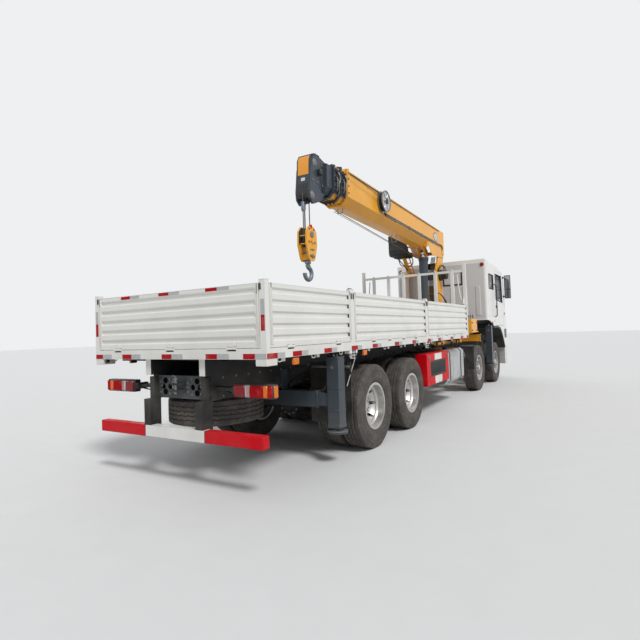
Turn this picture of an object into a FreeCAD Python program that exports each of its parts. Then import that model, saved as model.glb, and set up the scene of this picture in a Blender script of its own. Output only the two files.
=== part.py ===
import FreeCAD, Part
import os
import re
import Sketcher

# Truck-mounted telescopic crane.
# Lengths in millimetres. x runs forward from the tailgate's face, y to the left, z up from the ground.

os.makedirs("parts", exist_ok=True)
document = FreeCAD.newDocument("truck_crane")
sizes = document.addObject("Spreadsheet::Sheet", "Sizes")

SIZES = (
    ("overall_length", 11950, "tailgate face to bumper face"),
    ("slide_gap", 6, "gap between pieces that move past each other"),
    ("bearing_gap", 0.05, "radial gap of a shaft in its bearing"),
    # wheels
    ("axle_one", 10430, "first steered axle"),
    ("axle_two", 8480, "second steered axle"),
    ("axle_three", 3680, "first driven axle"),
    ("axle_four", 2330, "second driven axle"),
    ("tyre_radius", 542.5, "outside radius"),
    ("tyre_half", 150, "half the tyre's width"),
    ("tread_half", 124, "half the tread's width"),
    ("bead_half", 116, "half the width at the bead"),
    ("seat_radius", 286, "rim seat"),
    ("lip_radius", 304, "rim lip"),
    ("front_track", 1035, "front tyre's middle"),
    ("rear_track", 1100, "outer rear tyre's middle"),
    ("twin_step", 335, "between twin tyres"),
    ("spindle_radius", 45, "wheel spindle"),
    ("king_y", 860, "kingpin's distance from the middle"),
    ("king_radius", 25, "kingpin"),
    ("king_half", 95, "half the kingpin boss"),
    ("drum_radius", 200, "brake drum"),
    # frame
    ("rail_start", 150, "rear end of the rails"),
    ("rail_end", 11600, "front end of the rails"),
    ("rail_outer", 430, "outside of a rail's web"),
    ("rail_flange", 80, "flange width"),
    ("rail_plate", 10, "rail thickness"),
    ("rail_low", 870, "underside of the rails"),
    ("rail_high", 1130, "top of the rails"),
    ("air_tank_x", 7340, "middle of the air tanks"),
    ("air_tank_radius", 130, "air tank"),
    ("guard_low", 480, "underside of the rear guard bar"),
    ("guard_high", 600, "top of the rear guard bar"),
    ("guard_half", 1175, "half length of the rear guard bar"),
    # bed
    ("bed_tail", 12, "rear end of the bed"),
    ("hinge_z", 1403, "gate hinges"),
    ("hinge_radius", 12, "gate hinge barrel"),
    ("hinge_pin", 6, "gate hinge pin"),
    ("hinge_room", 7, "room round a hinge barrel"),
    ("axial_gap", 1, "end gap of a hinge barrel"),
    ("door_hinge_radius", 10, "door hinge barrel"),
    ("bed_half", 1250, "half width"),
    ("bed_end", 7220, "front of the headboard"),
    ("sill_low", 1300, "underside of the side sill"),
    ("sill_high", 1400, "top of the side sill"),
    ("floor_high", 1390, "load floor"),
    ("gate_low", 1406, "underside of the gates"),
    ("gate_high", 2000, "top of the gates"),
    ("gate_thick", 46, "gate thickness"),
    ("post_one", 1717, "first side post"),
    ("post_two", 4468, "second side post"),
    ("post_wide", 90, "side post width"),
    ("post_high", 2030, "top of the side posts"),
    ("rack_high", 2940, "top of the rack's posts"),
    ("rack_rail", 2770, "rack's top rail"),
    # cab
    ("cab_rear", 9420, "rear wall"),
    ("cab_half", 1235, "half width of the cab"),
    ("cab_skin", 40, "wall thickness"),
    ("rib_rise", 14, "depth of the pressed ribs in the rear wall"),
    ("intake_x", 9270, "air intake"),
    ("intake_y", 930, "air intake"),
    ("door_rear", 10340, "rear edge of the door opening"),
    ("door_front", 11440, "front edge of the door opening"),
    ("door_low", 1545, "sill of the door opening"),
    ("door_high", 3070, "top of the door opening"),
    ("window_low", 2260, "underside of the side windows"),
    ("window_high", 2985, "top of the side windows"),
    ("floor_cab", 1760, "cab floor"),
    # crane
    ("slew_x", 8620, "slewing axis"),
    ("ring_radius", 380, "slewing ring"),
    ("base_high", 1750, "top of the fixed crane base"),
    ("ring_high", 1800, "top of the slewing ring"),
    ("column_rear", 8400, "rear face of the column"),
    ("column_front", 8850, "front face of the column"),
    ("column_half", 225, "half width of the column"),
    ("column_high", 2600, "top of the closed column"),
    ("ear_thick", 40, "ear plate thickness"),
    ("pivot_x", 8920, "boom pivot"),
    ("pivot_z", 3500, "boom pivot height"),
    ("pin_radius", 45, "boom pivot pin"),
    ("foot_x", 8020, "lift cylinder's lower pin"),
    ("foot_z", 1900, "height of the lift cylinder's lower pin"),
    ("eye_u", 800, "lift cylinder's upper pin along the boom"),
    ("eye_w", -110, "lift cylinder's upper pin across the boom"),
    ("boom_angle", 2, "boom's angle at rest"),
    ("boom_half", 240, "half width of the base section"),
    ("boom_top", 550, "top of the base section above the pivot"),
    ("boom_side", 100, "lower edge of the straight sides"),
    ("boom_keel", -30, "underside of the base section"),
    ("keel_half", 120, "half width of the underside"),
    ("side_rise", 0.391, "rise of the side's lower corner for each millimetre inward"),
    ("keel_shift", 0.438, "shift of the keel's corner for each millimetre inward"),
    ("boom_plate", 10, "section wall"),
    ("section_step", 20, "from one section's outside to the next one's"),
    ("boom_end", 5300, "outer end of the base section"),
    ("sheave_u", 6200, "head sheave along the boom"),
    ("sheave_w", -100, "head sheave across the boom"),
    ("sheave_radius", 80, "head sheave and hook block sheave"),
    ("rope_radius", 8, "hoist rope"),
    ("head_half", 120, "half width of the head"),
    ("reel_u", 3880, "hose reel along the boom"),
    ("reel_w", 355, "hose reel across the boom"),
    ("reel_radius", 205, "hose reel's flanges"),
    ("luff_barrel_radius", 110, "lift cylinder barrel"),
    ("barrel_start", 175, "from the lower pin to the barrel"),
    ("luff_rod_radius", 55, "lift cylinder rod"),
    ("drum_x", 8660, "winch drum"),
    ("drum_z", 2880, "winch drum's height"),
    # outriggers
    ("rear_jack_x", 1405, "rear outriggers"),
    ("front_jack_x", 9725, "front outriggers"),
    ("jack_outer", 1240, "outside of a leg"),
    ("leg_wide", 150, "leg width"),
    ("box_half", 950, "half length of an outrigger box"),
    ("beam_wide", 116, "outrigger beam width"),
    ("beam_tall", 150, "outrigger beam height"),
    ("box_wall", 10, "outrigger box wall"),
    ("jack_rod", 42, "jack rod"),
)

known = {}
for row, (name, value, note) in enumerate(SIZES, start=1):
    sizes.set("A%d" % row, note)
    sizes.set("B%d" % row, str(value))
    sizes.setAlias("B%d" % row, name)
    known[name] = value
document.recompute()

def bound(text):
    """The same expression with every size name pointing at the sheet."""
    def link(found):
        word = found.group()
        return "Sizes." + word if word in known else word
    return re.sub(r"[a-z][a-z0-9_]*", link, str(text))


def amount(text):
    """The value of an expression of sizes."""
    return float(sizes.evalExpression(bound(text)))


def tie(item, **values):
    """Bind properties to expressions of sizes. A double underscore stands for a dot."""
    for path, text in values.items():
        item.setExpression(path.replace("__", "."), bound(text))
    return item


X_AXIS = FreeCAD.Vector(1, 0, 0)
Y_AXIS = FreeCAD.Vector(0, 1, 0)
Z_AXIS = FreeCAD.Vector(0, 0, 1)
PLANES = {
    # a sketch's turn into the plane, and the direction it is carried in
    "XY": (FreeCAD.Rotation(Z_AXIS, 0), Z_AXIS, "z"),
    "XZ": (FreeCAD.Rotation(X_AXIS, 90), Y_AXIS, "y"),
    "YZ": (FreeCAD.Rotation(FreeCAD.Vector(1, 1, 1), 120), X_AXIS, "x"),
}
ROUNDS = {
    # a cylinder's turn onto the axis, and the letters of the start and of the two centre values
    "X": (FreeCAD.Rotation(Y_AXIS, 90), "x", "yz"),
    "Y": (FreeCAD.Rotation(X_AXIS, -90), "y", "xz"),
    "Z": (FreeCAD.Rotation(Z_AXIS, 0), "z", "xy"),
}
pieces = []


class Piece:
    """One named piece. Shapes added to it are joined, and a round of cuts follows each join.

    Hinge parts wait in "room", "part" and "bore", and are cut, joined and cut once at the end.
    """

    def __init__(self, name, x="0", y="0", z="0", lean=None):
        self.name = name
        self.place = (x, y, z)
        self.lean = lean
        self.joined = []
        self.cuts = []
        self.rounds = 0
        self.waiting = {"room": [], "part": [], "bore": []}
        pieces.append(self)

    def take(self, item, cut=False):
        if cut in self.waiting:
            self.waiting[cut].append(item)
            return item
        if cut:
            self.cuts.append(item)
            return item
        if self.cuts:
            self.settle()
        self.joined.append(item)
        return item

    def whole(self, items, label):
        if len(items) == 1:
            return items[0]
        union = document.addObject("Part::MultiFuse", "%s_%s_%d" % (self.name, label, self.rounds))
        union.Shapes = items
        union.Refine = False
        return union

    def settle(self):
        self.rounds += 1
        shape = self.whole(self.joined, "joined")
        if self.cuts:
            tool = self.whole(self.cuts, "cutters")
            rest = document.addObject("Part::Cut", "%s_cut_%d" % (self.name, self.rounds))
            rest.Base = shape
            rest.Tool = tool
            rest.Refine = False
            shape = rest
        self.joined = [shape]
        self.cuts = []
        return shape

    def finish(self):
        for kind, cut in (("room", True), ("part", False), ("bore", True)):
            for item in self.waiting[kind]:
                self.take(item, cut)
        last = document.addObject("Part::Compound", self.name + "_piece")
        last.Links = [self.settle()]
        last.Label = self.name
        if self.lean is not None:
            turn = FreeCAD.Rotation(Y_AXIS, amount(self.lean))
            last.Placement = FreeCAD.Placement(FreeCAD.Vector(), turn)
            tie(last, Placement__Rotation__Angle=self.lean)
        x, y, z = self.place
        tie(last, Placement__Base__x="%s - overall_length / 2" % x, Placement__Base__y=y, Placement__Base__z=z)
        return last


def new_body(name, x="0", y="0", z="0", lean=None):
    """A piece whose own origin is at x, y, z, and which lean turns about the y axis."""
    return Piece(name, x, y, z, lean)


def outline(name, plane, corners, level="0"):
    """A closed sketch whose corners are tied to the sheet."""
    turn, direction, letter = PLANES[plane]
    sketch = document.addObject("Sketcher::SketchObject", name + "_outline")
    sketch.Placement = FreeCAD.Placement(FreeCAD.Vector(), turn)
    sketch.setExpression("Placement.Base." + letter, bound(level))
    count = len(corners)
    points = [FreeCAD.Vector(amount(first), amount(second), 0) for first, second in corners]
    for place in range(count):
        line = Part.LineSegment(points[place], points[(place + 1) % count])
        sketch.addGeometry(line, False)
    for place in range(count):
        following = (place + 1) % count
        sketch.addConstraint(Sketcher.Constraint("Coincident", place, 2, following, 1))
    for place in range(count):
        for kind, value, text in (
            ("DistanceX", points[place].x, corners[place][0]),
            ("DistanceY", points[place].y, corners[place][1]),
        ):
            size = sketch.addConstraint(Sketcher.Constraint(kind, -1, 1, place, 1, value))
            sketch.setExpression("Constraints[%d]" % size, bound(text))
    return sketch


def plate(body, name, plane, corners, low, high, cut=False):
    """A profile drawn on a plane and carried from low to high along the plane's axis."""
    low, high = sorted((str(low), str(high)), key=amount)
    item = document.addObject("Part::Extrusion", name)
    item.Base = outline(name, plane, corners, low)
    item.DirMode = "Custom"
    item.Dir = PLANES[plane][1]
    item.Solid = True
    tie(item, LengthFwd="(%s) - (%s)" % (high, low))
    return body.take(item, cut)


def block(body, name, x, y, z, cut=False):
    """A rectangular block between three pairs of limits."""
    item = document.addObject("Part::Box", name)
    for letter, side, pair in (("x", "Length", x), ("y", "Width", y), ("z", "Height", z)):
        low, high = sorted((str(limit) for limit in pair), key=amount)
        item.setExpression("Placement.Base." + letter, bound(low))
        item.setExpression(side, bound("(%s) - (%s)" % (high, low)))
    return body.take(item, cut)


def bar(body, name, along, centre, ends, radius, cut=False):
    """A round bar or hole along one axis. centre is given in the plane across it."""
    turn, letter, across = ROUNDS[along]
    item = document.addObject("Part::Cylinder", name)
    item.Placement = FreeCAD.Placement(FreeCAD.Vector(), turn)
    low, high = sorted((str(end) for end in ends), key=amount)
    item.setExpression("Placement.Base." + letter, bound(low))
    item.setExpression("Placement.Base." + across[0], bound(centre[0]))
    item.setExpression("Placement.Base." + across[1], bound(centre[1]))
    tie(item, Radius=radius, Height="(%s) - (%s)" % (high, low))
    return body.take(item, cut)


def turned(body, name, corners, cut=False, about="Y", at=None):
    """A profile of (along, radius) corners turned about an axis, and then moved."""
    item = document.addObject("Part::Revolution", name)
    if about == "X":
        item.Source = outline(name, "XZ", corners)
        item.Axis = X_AXIS
    elif about == "Y":
        item.Source = outline(name, "YZ", corners)
        item.Axis = Y_AXIS
    else:
        item.Source = outline(name, "XZ", [(radius, along) for along, radius in corners])
        item.Axis = Z_AXIS
    for letter, place in zip("xyz", at or ()):
        item.setExpression("Placement.Base." + letter, bound(place))
    item.Base = FreeCAD.Vector(0, 0, 0)
    item.Angle = 360
    item.Solid = True
    return body.take(item, cut)


def ring_of(body, name, count, away, ends, radius, cut=False):
    """Bars or holes along y, evenly round the piece's own y axis."""
    for number in range(count):
        angle = 360.0 * number / count
        centre = ("(%s) * cos(%.3f)" % (away, angle), "(%s) * sin(%.3f)" % (away, angle))
        bar(body, "%s_%d" % (name, number), "Y", centre, ends, radius, cut)


def ball(body, name, centre, radius):
    item = document.addObject("Part::Sphere", name)
    tie(item, Radius=radius, Placement__Base__x=centre[0], Placement__Base__y=centre[1],
        Placement__Base__z=centre[2])
    return body.take(item)


def hoop(body, name, along, centre, radius, thick, arc=360, start=0):
    """A round ring, or a part of one, about an axis through its centre."""
    turn = ROUNDS[along][0]
    item = document.addObject("Part::Torus", name)
    item.Placement = FreeCAD.Placement(FreeCAD.Vector(), turn.multiply(FreeCAD.Rotation(Z_AXIS, start)))
    tie(item, Radius1=radius, Radius2=thick, Placement__Base__x=centre[0],
        Placement__Base__y=centre[1], Placement__Base__z=centre[2])
    item.Angle3 = arc
    return body.take(item)


def rounded(body, name, radius, wanted):
    """Fillets on the edges that pass the test."""
    base = body.settle()
    document.recompute()
    chosen = []
    for number, edge in enumerate(base.Shape.Edges, start=1):
        if wanted(edge):
            chosen.append((number, amount(radius), amount(radius)))
    item = document.addObject("Part::Fillet", name)
    item.Base = base
    item.Edges = chosen
    body.joined = [item]
    return item


def hinge(fixed, moving, name, along, centre, start, length, radius, pin):
    """A barrel on the moving piece between two lugs of the fixed one, on a pin through all three."""
    quarter = "(%s) / 4" % length
    ends = {
        "rear_lug": (start, "%s + %s" % (start, quarter)),
        "front_lug": ("%s + 3 * %s" % (start, quarter), "%s + %s" % (start, length)),
    }
    barrel = ("%s + %s + axial_gap" % (start, quarter), "%s + 3 * %s - axial_gap" % (start, quarter))
    for label, span in ends.items():
        room = ("%s - axial_gap" % span[0], "%s + axial_gap" % span[1])
        bar(moving, "%s_room_%s" % (name, label), along, centre, room, radius + " + hinge_room", "room")
    bar(moving, name + "_barrel", along, centre, barrel, radius, "part")
    bar(moving, name + "_bore", along, centre, (start, "%s + %s" % (start, length)),
        pin + " + bearing_gap", "bore")
    bar(fixed, name + "_room", along, centre,
        ("%s - axial_gap" % barrel[0], "%s + axial_gap" % barrel[1]), radius + " + hinge_room", "room")
    for label, span in ends.items():
        bar(fixed, "%s_%s" % (name, label), along, centre, span, radius, "part")
    bar(fixed, name + "_pin", along, centre, (start, "%s + %s" % (start, length)), pin, "part")


SIDES = (("right", "-1"), ("left", "1"))


# Tyres and rims. A profile's y runs outward on either side of the truck.

def tyre_profile(middle):
    half = (
        ("bead_half", "seat_radius + 2"),
        ("bead_half", "lip_radius + 6"),
        ("tyre_half - 8", "lip_radius + 46"),
        ("tyre_half", "lip_radius + 110"),
        ("tyre_half - 6", "tyre_radius - 70"),
        ("tread_half + 6", "tyre_radius - 18"),
        ("tread_half - 16", "tyre_radius"),
    )
    there = [("%s + %s" % (middle, across), radius) for across, radius in half]
    back = [("%s - (%s)" % (middle, across), radius) for across, radius in reversed(half)]
    return there + back


def tyre(name, axle, middles, side):
    body = new_body(name, axle, "0", "tyre_radius")
    for number, middle in enumerate(middles):
        turned(body, "%s_ring_%d" % (name, number), tyre_profile("%s * (%s)" % (side, middle)))
    return body


def rim_base(body, name, side, middle):
    """The drop-centre band with its two lips."""
    turned(body, name, [
        ("%s * (%s)" % (side, across), radius) for across, radius in (
            (middle + " - bead_half - 12", "lip_radius"),
            (middle + " - bead_half", "lip_radius"),
            (middle + " - bead_half", "seat_radius"),
            (middle + " - 60", "seat_radius - 3"),
            (middle + " - 40", "seat_radius - 30"),
            (middle + " + 10", "seat_radius - 30"),
            (middle + " + 30", "seat_radius - 3"),
            (middle + " + bead_half", "seat_radius"),
            (middle + " + bead_half", "lip_radius"),
            (middle + " + bead_half + 12", "lip_radius"),
            (middle + " + bead_half + 12", "seat_radius - 12"),
            (middle + " + 38", "seat_radius - 15"),
            (middle + " + 16", "seat_radius - 42"),
            (middle + " - 46", "seat_radius - 42"),
            (middle + " - 68", "seat_radius - 15"),
            (middle + " - bead_half - 12", "seat_radius - 12"),
        )
    ])


def front_rim(name, axle, side):
    body = new_body(name, axle, "0", "tyre_radius")
    rim_base(body, name + "_band", side, "front_track")
    turned(body, name + "_disc", [
        ("%s * (%s)" % (side, across), radius) for across, radius in (
            ("front_track - 34", "seat_radius - 40"),
            ("front_track + 62", "230"),
            ("front_track + 92", "205"),
            ("front_track + 92", "118"),
            ("front_track + 84", "110"),
            ("front_track + 84", "spindle_radius + bearing_gap"),
            ("front_track + 66", "spindle_radius + bearing_gap"),
            ("front_track + 66", "118"),
            ("front_track + 80", "200"),
            ("front_track + 50", "218"),
            ("front_track - 46", "seat_radius - 58"),
            ("front_track - 46", "seat_radius - 41"),
        )
    ])
    low = "%s * (front_track - 20)" % side
    high = "%s * (front_track + 110)" % side
    ring_of(body, name + "_hand_hole", 10, "212", (low, high), "24", cut=True)
    bar(body, name + "_cap", "Y", ("0", "0"),
        ("%s * (front_track + 84)" % side, "%s * (front_track + 130)" % side), "86")
    ring_of(body, name + "_stud", 10, "150",
            ("%s * (front_track + 90)" % side, "%s * (front_track + 112)" % side), "14")
    return body


def rear_rim(name, axle, side):
    body = new_body(name, axle, "0", "tyre_radius")
    rim_base(body, name + "_outer_band", side, "rear_track")
    rim_base(body, name + "_inner_band", side, "(rear_track - twin_step)")
    turned(body, name + "_disc", [
        ("%s * (%s)" % (side, across), radius) for across, radius in (
            ("rear_track + 44", "seat_radius - 16"),
            ("rear_track - 40", "215"),
            ("rear_track - 78", "200"),
            ("rear_track - 78", "125"),
            ("rear_track - 18", "105"),
            ("rear_track - 2", "70"),
            ("rear_track - 2", "spindle_radius + bearing_gap"),
            ("rear_track - 150", "spindle_radius + bearing_gap"),
            ("rear_track - 150", "110"),
            ("rear_track - 96", "125"),
            ("rear_track - 96", "206"),
            ("rear_track - 54", "226"),
            ("rear_track + 28", "seat_radius - 16"),
        )
    ])
    turned(body, name + "_inner_disc", [
        ("%s * (%s)" % (side, across), radius) for across, radius in (
            ("rear_track - twin_step + 44", "seat_radius - 14"),
            ("rear_track - 150", "216"),
            ("rear_track - 98", "200"),
            ("rear_track - 98", "112"),
            ("rear_track - 116", "112"),
            ("rear_track - 116", "190"),
            ("rear_track - 170", "206"),
            ("rear_track - twin_step + 24", "seat_radius - 16"),
        )
    ])
    low = "%s * (rear_track - 110)" % side
    high = "%s * (rear_track + 40)" % side
    ring_of(body, name + "_hand_hole", 8, "222", (low, high), "24", cut=True)
    ring_of(body, name + "_stud", 10, "160",
            ("%s * (rear_track - 82)" % side, "%s * (rear_track - 56)" % side), "14")
    return body


def knuckle(name, axle, side):
    """Steered fork with its kingpin, brake drum and wheel spindle."""
    body = new_body(name, axle, "0", "tyre_radius")
    reach = "%s * (king_y - 45)" % side
    back = "%s * (king_y + 62)" % side
    for place, low, high in (("top", "king_half + slide_gap", "king_half + slide_gap + 26"),
                             ("bottom", "-king_half - slide_gap - 26", "-king_half - slide_gap")):
        block(body, "%s_%s" % (name, place), ("-45", "45"), (reach, back), (low, high))
    block(body, name + "_back", ("-60", "60"), ("%s * (king_y + 52)" % side, back),
          ("-king_half - slide_gap - 26", "king_half + slide_gap + 26"))
    bar(body, name + "_pin", "Z", ("0", "%s * king_y" % side),
        ("-king_half - 20", "king_half + 20"), "king_radius")
    bar(body, name + "_drum", "Y", ("0", "0"),
        ("%s * (king_y + 61)" % side, "%s * (front_track + 40)" % side), "drum_radius")
    bar(body, name + "_spindle", "Y", ("0", "0"),
        ("%s * (king_y + 70)" % side, "%s * (front_track + 83.5)" % side), "spindle_radius")
    return body


for number, axle in (("1", "axle_one"), ("2", "axle_two")):
    for side_name, side in SIDES:
        place = "%s_%s" % (number, side_name)
        tyre("tyre_" + place, axle, ["front_track"], side)
        front_rim("rim_" + place, axle, side)
        knuckle("knuckle_" + place, axle, side)
for number, axle in (("3", "axle_three"), ("4", "axle_four")):
    for side_name, side in SIDES:
        place = "%s_%s" % (number, side_name)
        tyre("tyre_" + place, axle, ["rear_track", "rear_track - twin_step"], side)
        rear_rim("rim_" + place, axle, side)


# Frame: two channel rails, cross-members, rear guard, tow jaw, wheel guards.

frame = new_body("chassis_frame")
for side_name, side in SIDES:
    web = "%s * rail_outer" % side
    inside = "%s * (rail_outer - rail_plate)" % side
    flange = "%s * (rail_outer - rail_flange)" % side
    plate(frame, "rail_" + side_name, "YZ", [
        (web, "rail_low"), (web, "rail_high"), (flange, "rail_high"),
        (flange, "rail_high - rail_plate"), (inside, "rail_high - rail_plate"),
        (inside, "rail_low + rail_plate"), (flange, "rail_low + rail_plate"), (flange, "rail_low"),
    ], "rail_start", "rail_end")
CROSS_MEMBERS = (
    ("rear", "rail_start", 12), ("spare", "700", 120), ("spring_rear", "1560", 90), ("bogie", "2960", 120),
    ("middle", "4420", 80), ("tank", "6980", 80), ("slew_rear", "8040", 90),
    ("slew_front", "9180", 90), ("front", "11380", 120),
)
for name, start, wide in CROSS_MEMBERS:
    block(frame, "cross_" + name, (start, "%s + %d" % (start, wide)),
          ("-rail_outer + rail_plate", "rail_outer - rail_plate"),
          ("rail_low + rail_plate", "rail_high - rail_plate"))
for number, (across, up) in enumerate((("-270", "1000"), ("-170", "1000"), ("170", "1000"), ("270", "1000"))):
    bar(frame, "rear_hole_%d" % number, "X", (across, up), ("rail_start - 1", "rail_start + 13"), "32", cut=True)
for name, low in (("low", "960"), ("high", "1030")):
    plate(frame, "jaw_" + name, "XY", [
        ("rail_start", "-75"), ("rail_start", "75"), ("rail_start - 60", "55"), ("rail_start - 110", "40"),
        ("rail_start - 110", "-40"), ("rail_start - 60", "-55"),
    ], low, low + " + 20")
bar(frame, "jaw_bore", "Z", ("rail_start - 70", "0"), ("950", "1060"), "20", cut=True)
for side_name, side in SIDES:
    block(frame, "guard_post_" + side_name, ("20", "rail_start + 12"),
          ("%s * 330" % side, "%s * 430" % side), ("guard_low + 20", "rail_low + 5"))
    block(frame, "guard_hanger_" + side_name, ("rail_start - 60", "rail_start + 12"),
          ("%s * 345" % side, "%s * 415" % side), ("rail_low", "rail_high - 20"))
plate(frame, "guard_bar", "YZ", [
    ("-guard_half", "guard_low"), ("guard_half", "guard_low"),
    ("guard_half", "guard_high"), ("-guard_half", "guard_high"),
], "20", "110")
for side_name, side in SIDES:
    inner = "%s * 640" % side
    outer = "%s * 1215" % side
    block(frame, "stay_two_" + side_name, ("7785", "7815"), ("%s * (rail_outer)" % side, outer),
          ("1085", "1115"))
    plate(frame, "flap_two_" + side_name, "XZ", [
        ("7770", "560"), ("7785", "560"), ("7785", "1160"), ("7770", "1160"),
    ], "%s * 880" % side, "%s * 1215" % side)
    block(frame, "stay_one_" + side_name, ("9380", "9410"), ("%s * (rail_outer)" % side, "%s * 930" % side),
          ("1085", "1115"))
    plate(frame, "shield_one_" + side_name, "XZ", [
        ("9170", "620"), ("9600", "620"), ("9600", "900"), ("9500", "1140"), ("9270", "1140"),
        ("9170", "900"),
    ], "%s * 900" % side, "%s * 1060" % side)
    block(frame, "stay_four_" + side_name, ("1700", "1725"), ("%s * (rail_outer)" % side, outer),
          ("1085", "1110"))
    plate(frame, "flap_four_" + side_name, "XZ", [
        ("1685", "420"), ("1700", "420"), ("1700", "1160"), ("1685", "1160"),
    ], inner, outer)

# Axles, springs and drive.

axles = new_body("axles")
for number, axle in (("one", "axle_one"), ("two", "axle_two")):
    plate(axles, "beam_" + number, "YZ", [
        ("-king_y + 30", "tyre_radius - king_half"), ("-king_y + 30", "tyre_radius + king_half"),
        ("-king_y + 110", "tyre_radius + 40"), ("-620", "tyre_radius - 20"),
        ("620", "tyre_radius - 20"), ("king_y - 110", "tyre_radius + 40"),
        ("king_y - 30", "tyre_radius + king_half"), ("king_y - 30", "tyre_radius - king_half"),
        ("king_y - 120", "tyre_radius - king_half"), ("600", "tyre_radius - 120"),
        ("-600", "tyre_radius - 120"), ("-king_y + 120", "tyre_radius - king_half"),
    ], axle + " - 42", axle + " + 42")
    for side_name, side in SIDES:
        place = "%s_%s" % (number, side_name)
        bar(axles, "boss_" + place, "Z", (axle, "%s * king_y" % side),
            ("tyre_radius - king_half", "tyre_radius + king_half"), "42")
        bar(axles, "king_bore_" + place, "Z", (axle, "%s * king_y" % side),
            ("tyre_radius - king_half - 1", "tyre_radius + king_half + 1"), "king_radius + bearing_gap", cut=True)
        plate(axles, "spring_" + place, "XZ", [
            (axle + " - 760", "770"), (axle + " - 760", "800"), (axle + " - 300", "640"),
            (axle + " + 300", "640"), (axle + " + 760", "800"), (axle + " + 760", "770"),
            (axle + " + 260", "tyre_radius - 22"), (axle + " - 260", "tyre_radius - 22"),
        ], "%s * 350" % side, "%s * 430" % side)
        for end_name, offset in (("rear", "-760"), ("front", "720")):
            block(axles, "hanger_%s_%s" % (place, end_name),
                  ("%s + %s" % (axle, offset), "%s + %s + 40" % (axle, offset)),
                  ("%s * 350" % side, "%s * 430" % side), ("780", "rail_low"))
for number, axle in (("three", "axle_three"), ("four", "axle_four")):
    bar(axles, "housing_" + number, "Y", (axle, "tyre_radius"),
        ("-(rear_track - 400)", "rear_track - 400"), "88")
    for side_name, side in SIDES:
        bar(axles, "rear_spindle_%s_%s" % (number, side_name), "Y", (axle, "tyre_radius"),
            ("%s * (rear_track - 401)" % side, "%s * (rear_track - 2)" % side), "spindle_radius")
        bar(axles, "rear_drum_%s_%s" % (number, side_name), "Y", (axle, "tyre_radius"),
            ("%s * (rear_track - 401)" % side, "%s * (rear_track - 185)" % side), "drum_radius - 10")
    ball(axles, "gear_case_" + number, (axle, "0", "tyre_radius"), "225")
for side_name, side in SIDES:
    plate(axles, "bogie_spring_" + side_name, "XZ", [
        ("axle_four - 60", "tyre_radius + 85"), ("axle_three + 60", "tyre_radius + 85"),
        ("axle_three + 60", "tyre_radius + 115"), ("(axle_three + axle_four) / 2 + 120", "790"),
        ("(axle_three + axle_four) / 2 - 120", "790"), ("axle_four - 60", "tyre_radius + 115"),
    ], "%s * 440" % side, "%s * 530" % side)
    plate(axles, "bogie_seat_" + side_name, "XZ", [
        ("(axle_three + axle_four) / 2 - 130", "500"), ("(axle_three + axle_four) / 2 + 130", "500"),
        ("(axle_three + axle_four) / 2 + 60", "900"), ("(axle_three + axle_four) / 2 - 60", "900"),
    ], "%s * 430" % side, "%s * 441" % side)
bar(axles, "bogie_tube", "Y", ("(axle_three + axle_four) / 2", "560"), ("-436", "436"), "60")
bar(axles, "prop_shaft", "X", ("0", "620"), ("axle_three + 150", "9900"), "55")

engine = new_body("engine")
plate(engine, "engine_block", "XZ", [
    ("9900", "640"), ("10900", "640"), ("11150", "760"), ("11150", "1480"), ("10100", "1480"), ("9900", "1300"),
], "-330", "330")
for side_name, side in SIDES:
    block(engine, "engine_mount_" + side_name, ("10050", "10170"),
          ("%s * 329" % side, "%s * (rail_outer - rail_plate)" % side), ("920", "980"))
plate(engine, "silencer", "YZ", [
    ("500", "640"), ("560", "600"), ("940", "600"), ("1000", "640"), ("1000", "940"), ("940", "980"),
    ("560", "980"), ("500", "940"),
], "7020", "7690")
bar(engine, "exhaust_pipe", "X", ("250", "790"), ("7400", "9901"), "50")
bar(engine, "exhaust_bend", "Y", ("7450", "790"), ("201", "501"), "49")
bar(engine, "exhaust_tail", "Y", ("7150", "790"), ("999", "1150"), "45")
block(engine, "oil_pan_gap", ("axle_one - 100", "axle_one + 100"), ("-331", "331"), ("639", "680"), cut=True)

# Tanks and boxes hung on the rails.

tanks = new_body("fuel_tank")
for name, side, start, end in (("fuel", "-1", "5660", "6900"), ("oil", "1", "5900", "6900")):
    inner = "%s * (rail_outer + 90)" % side
    outer = "%s * 1200" % side
    plate(tanks, name + "_shell", "YZ", [
        (inner, "500"), ("%s * (rail_outer + 140)" % side, "450"), ("%s * 1140" % side, "450"),
        (outer, "510"), (outer, "1040"), ("%s * 1140" % side, "1100"),
        ("%s * (rail_outer + 140)" % side, "1100"), (inner, "1050"),
    ], start, end)
    for number, offset in enumerate((200, 900 if name == "fuel" else 700)):
        block(tanks, "%s_bracket_%d" % (name, number), ("%s + %d" % (start, offset), "%s + %d" % (start, offset + 60)),
              ("%s * rail_outer" % side, "%s * (rail_outer + 91)" % side), ("520", "1100"))

for name, across in (("inner", "640"), ("outer", "930")):
    turned(tanks, "air_tank_" + name, [
        ("-330", "0"), ("-320", "70"), ("-290", "115"), ("-260", "air_tank_radius"),
        ("260", "air_tank_radius"), ("290", "115"), ("320", "70"), ("330", "0"),
    ], about="X", at=("air_tank_x", "-%s" % across, "rail_low + 20"))
for number, offset in enumerate((-180, 130)):
    block(tanks, "air_bracket_%d" % number, ("air_tank_x + %d" % offset, "air_tank_x + %d" % (offset + 50)),
          ("-rail_outer", "-1040"), ("rail_low + 130", "rail_low + 160"))

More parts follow.
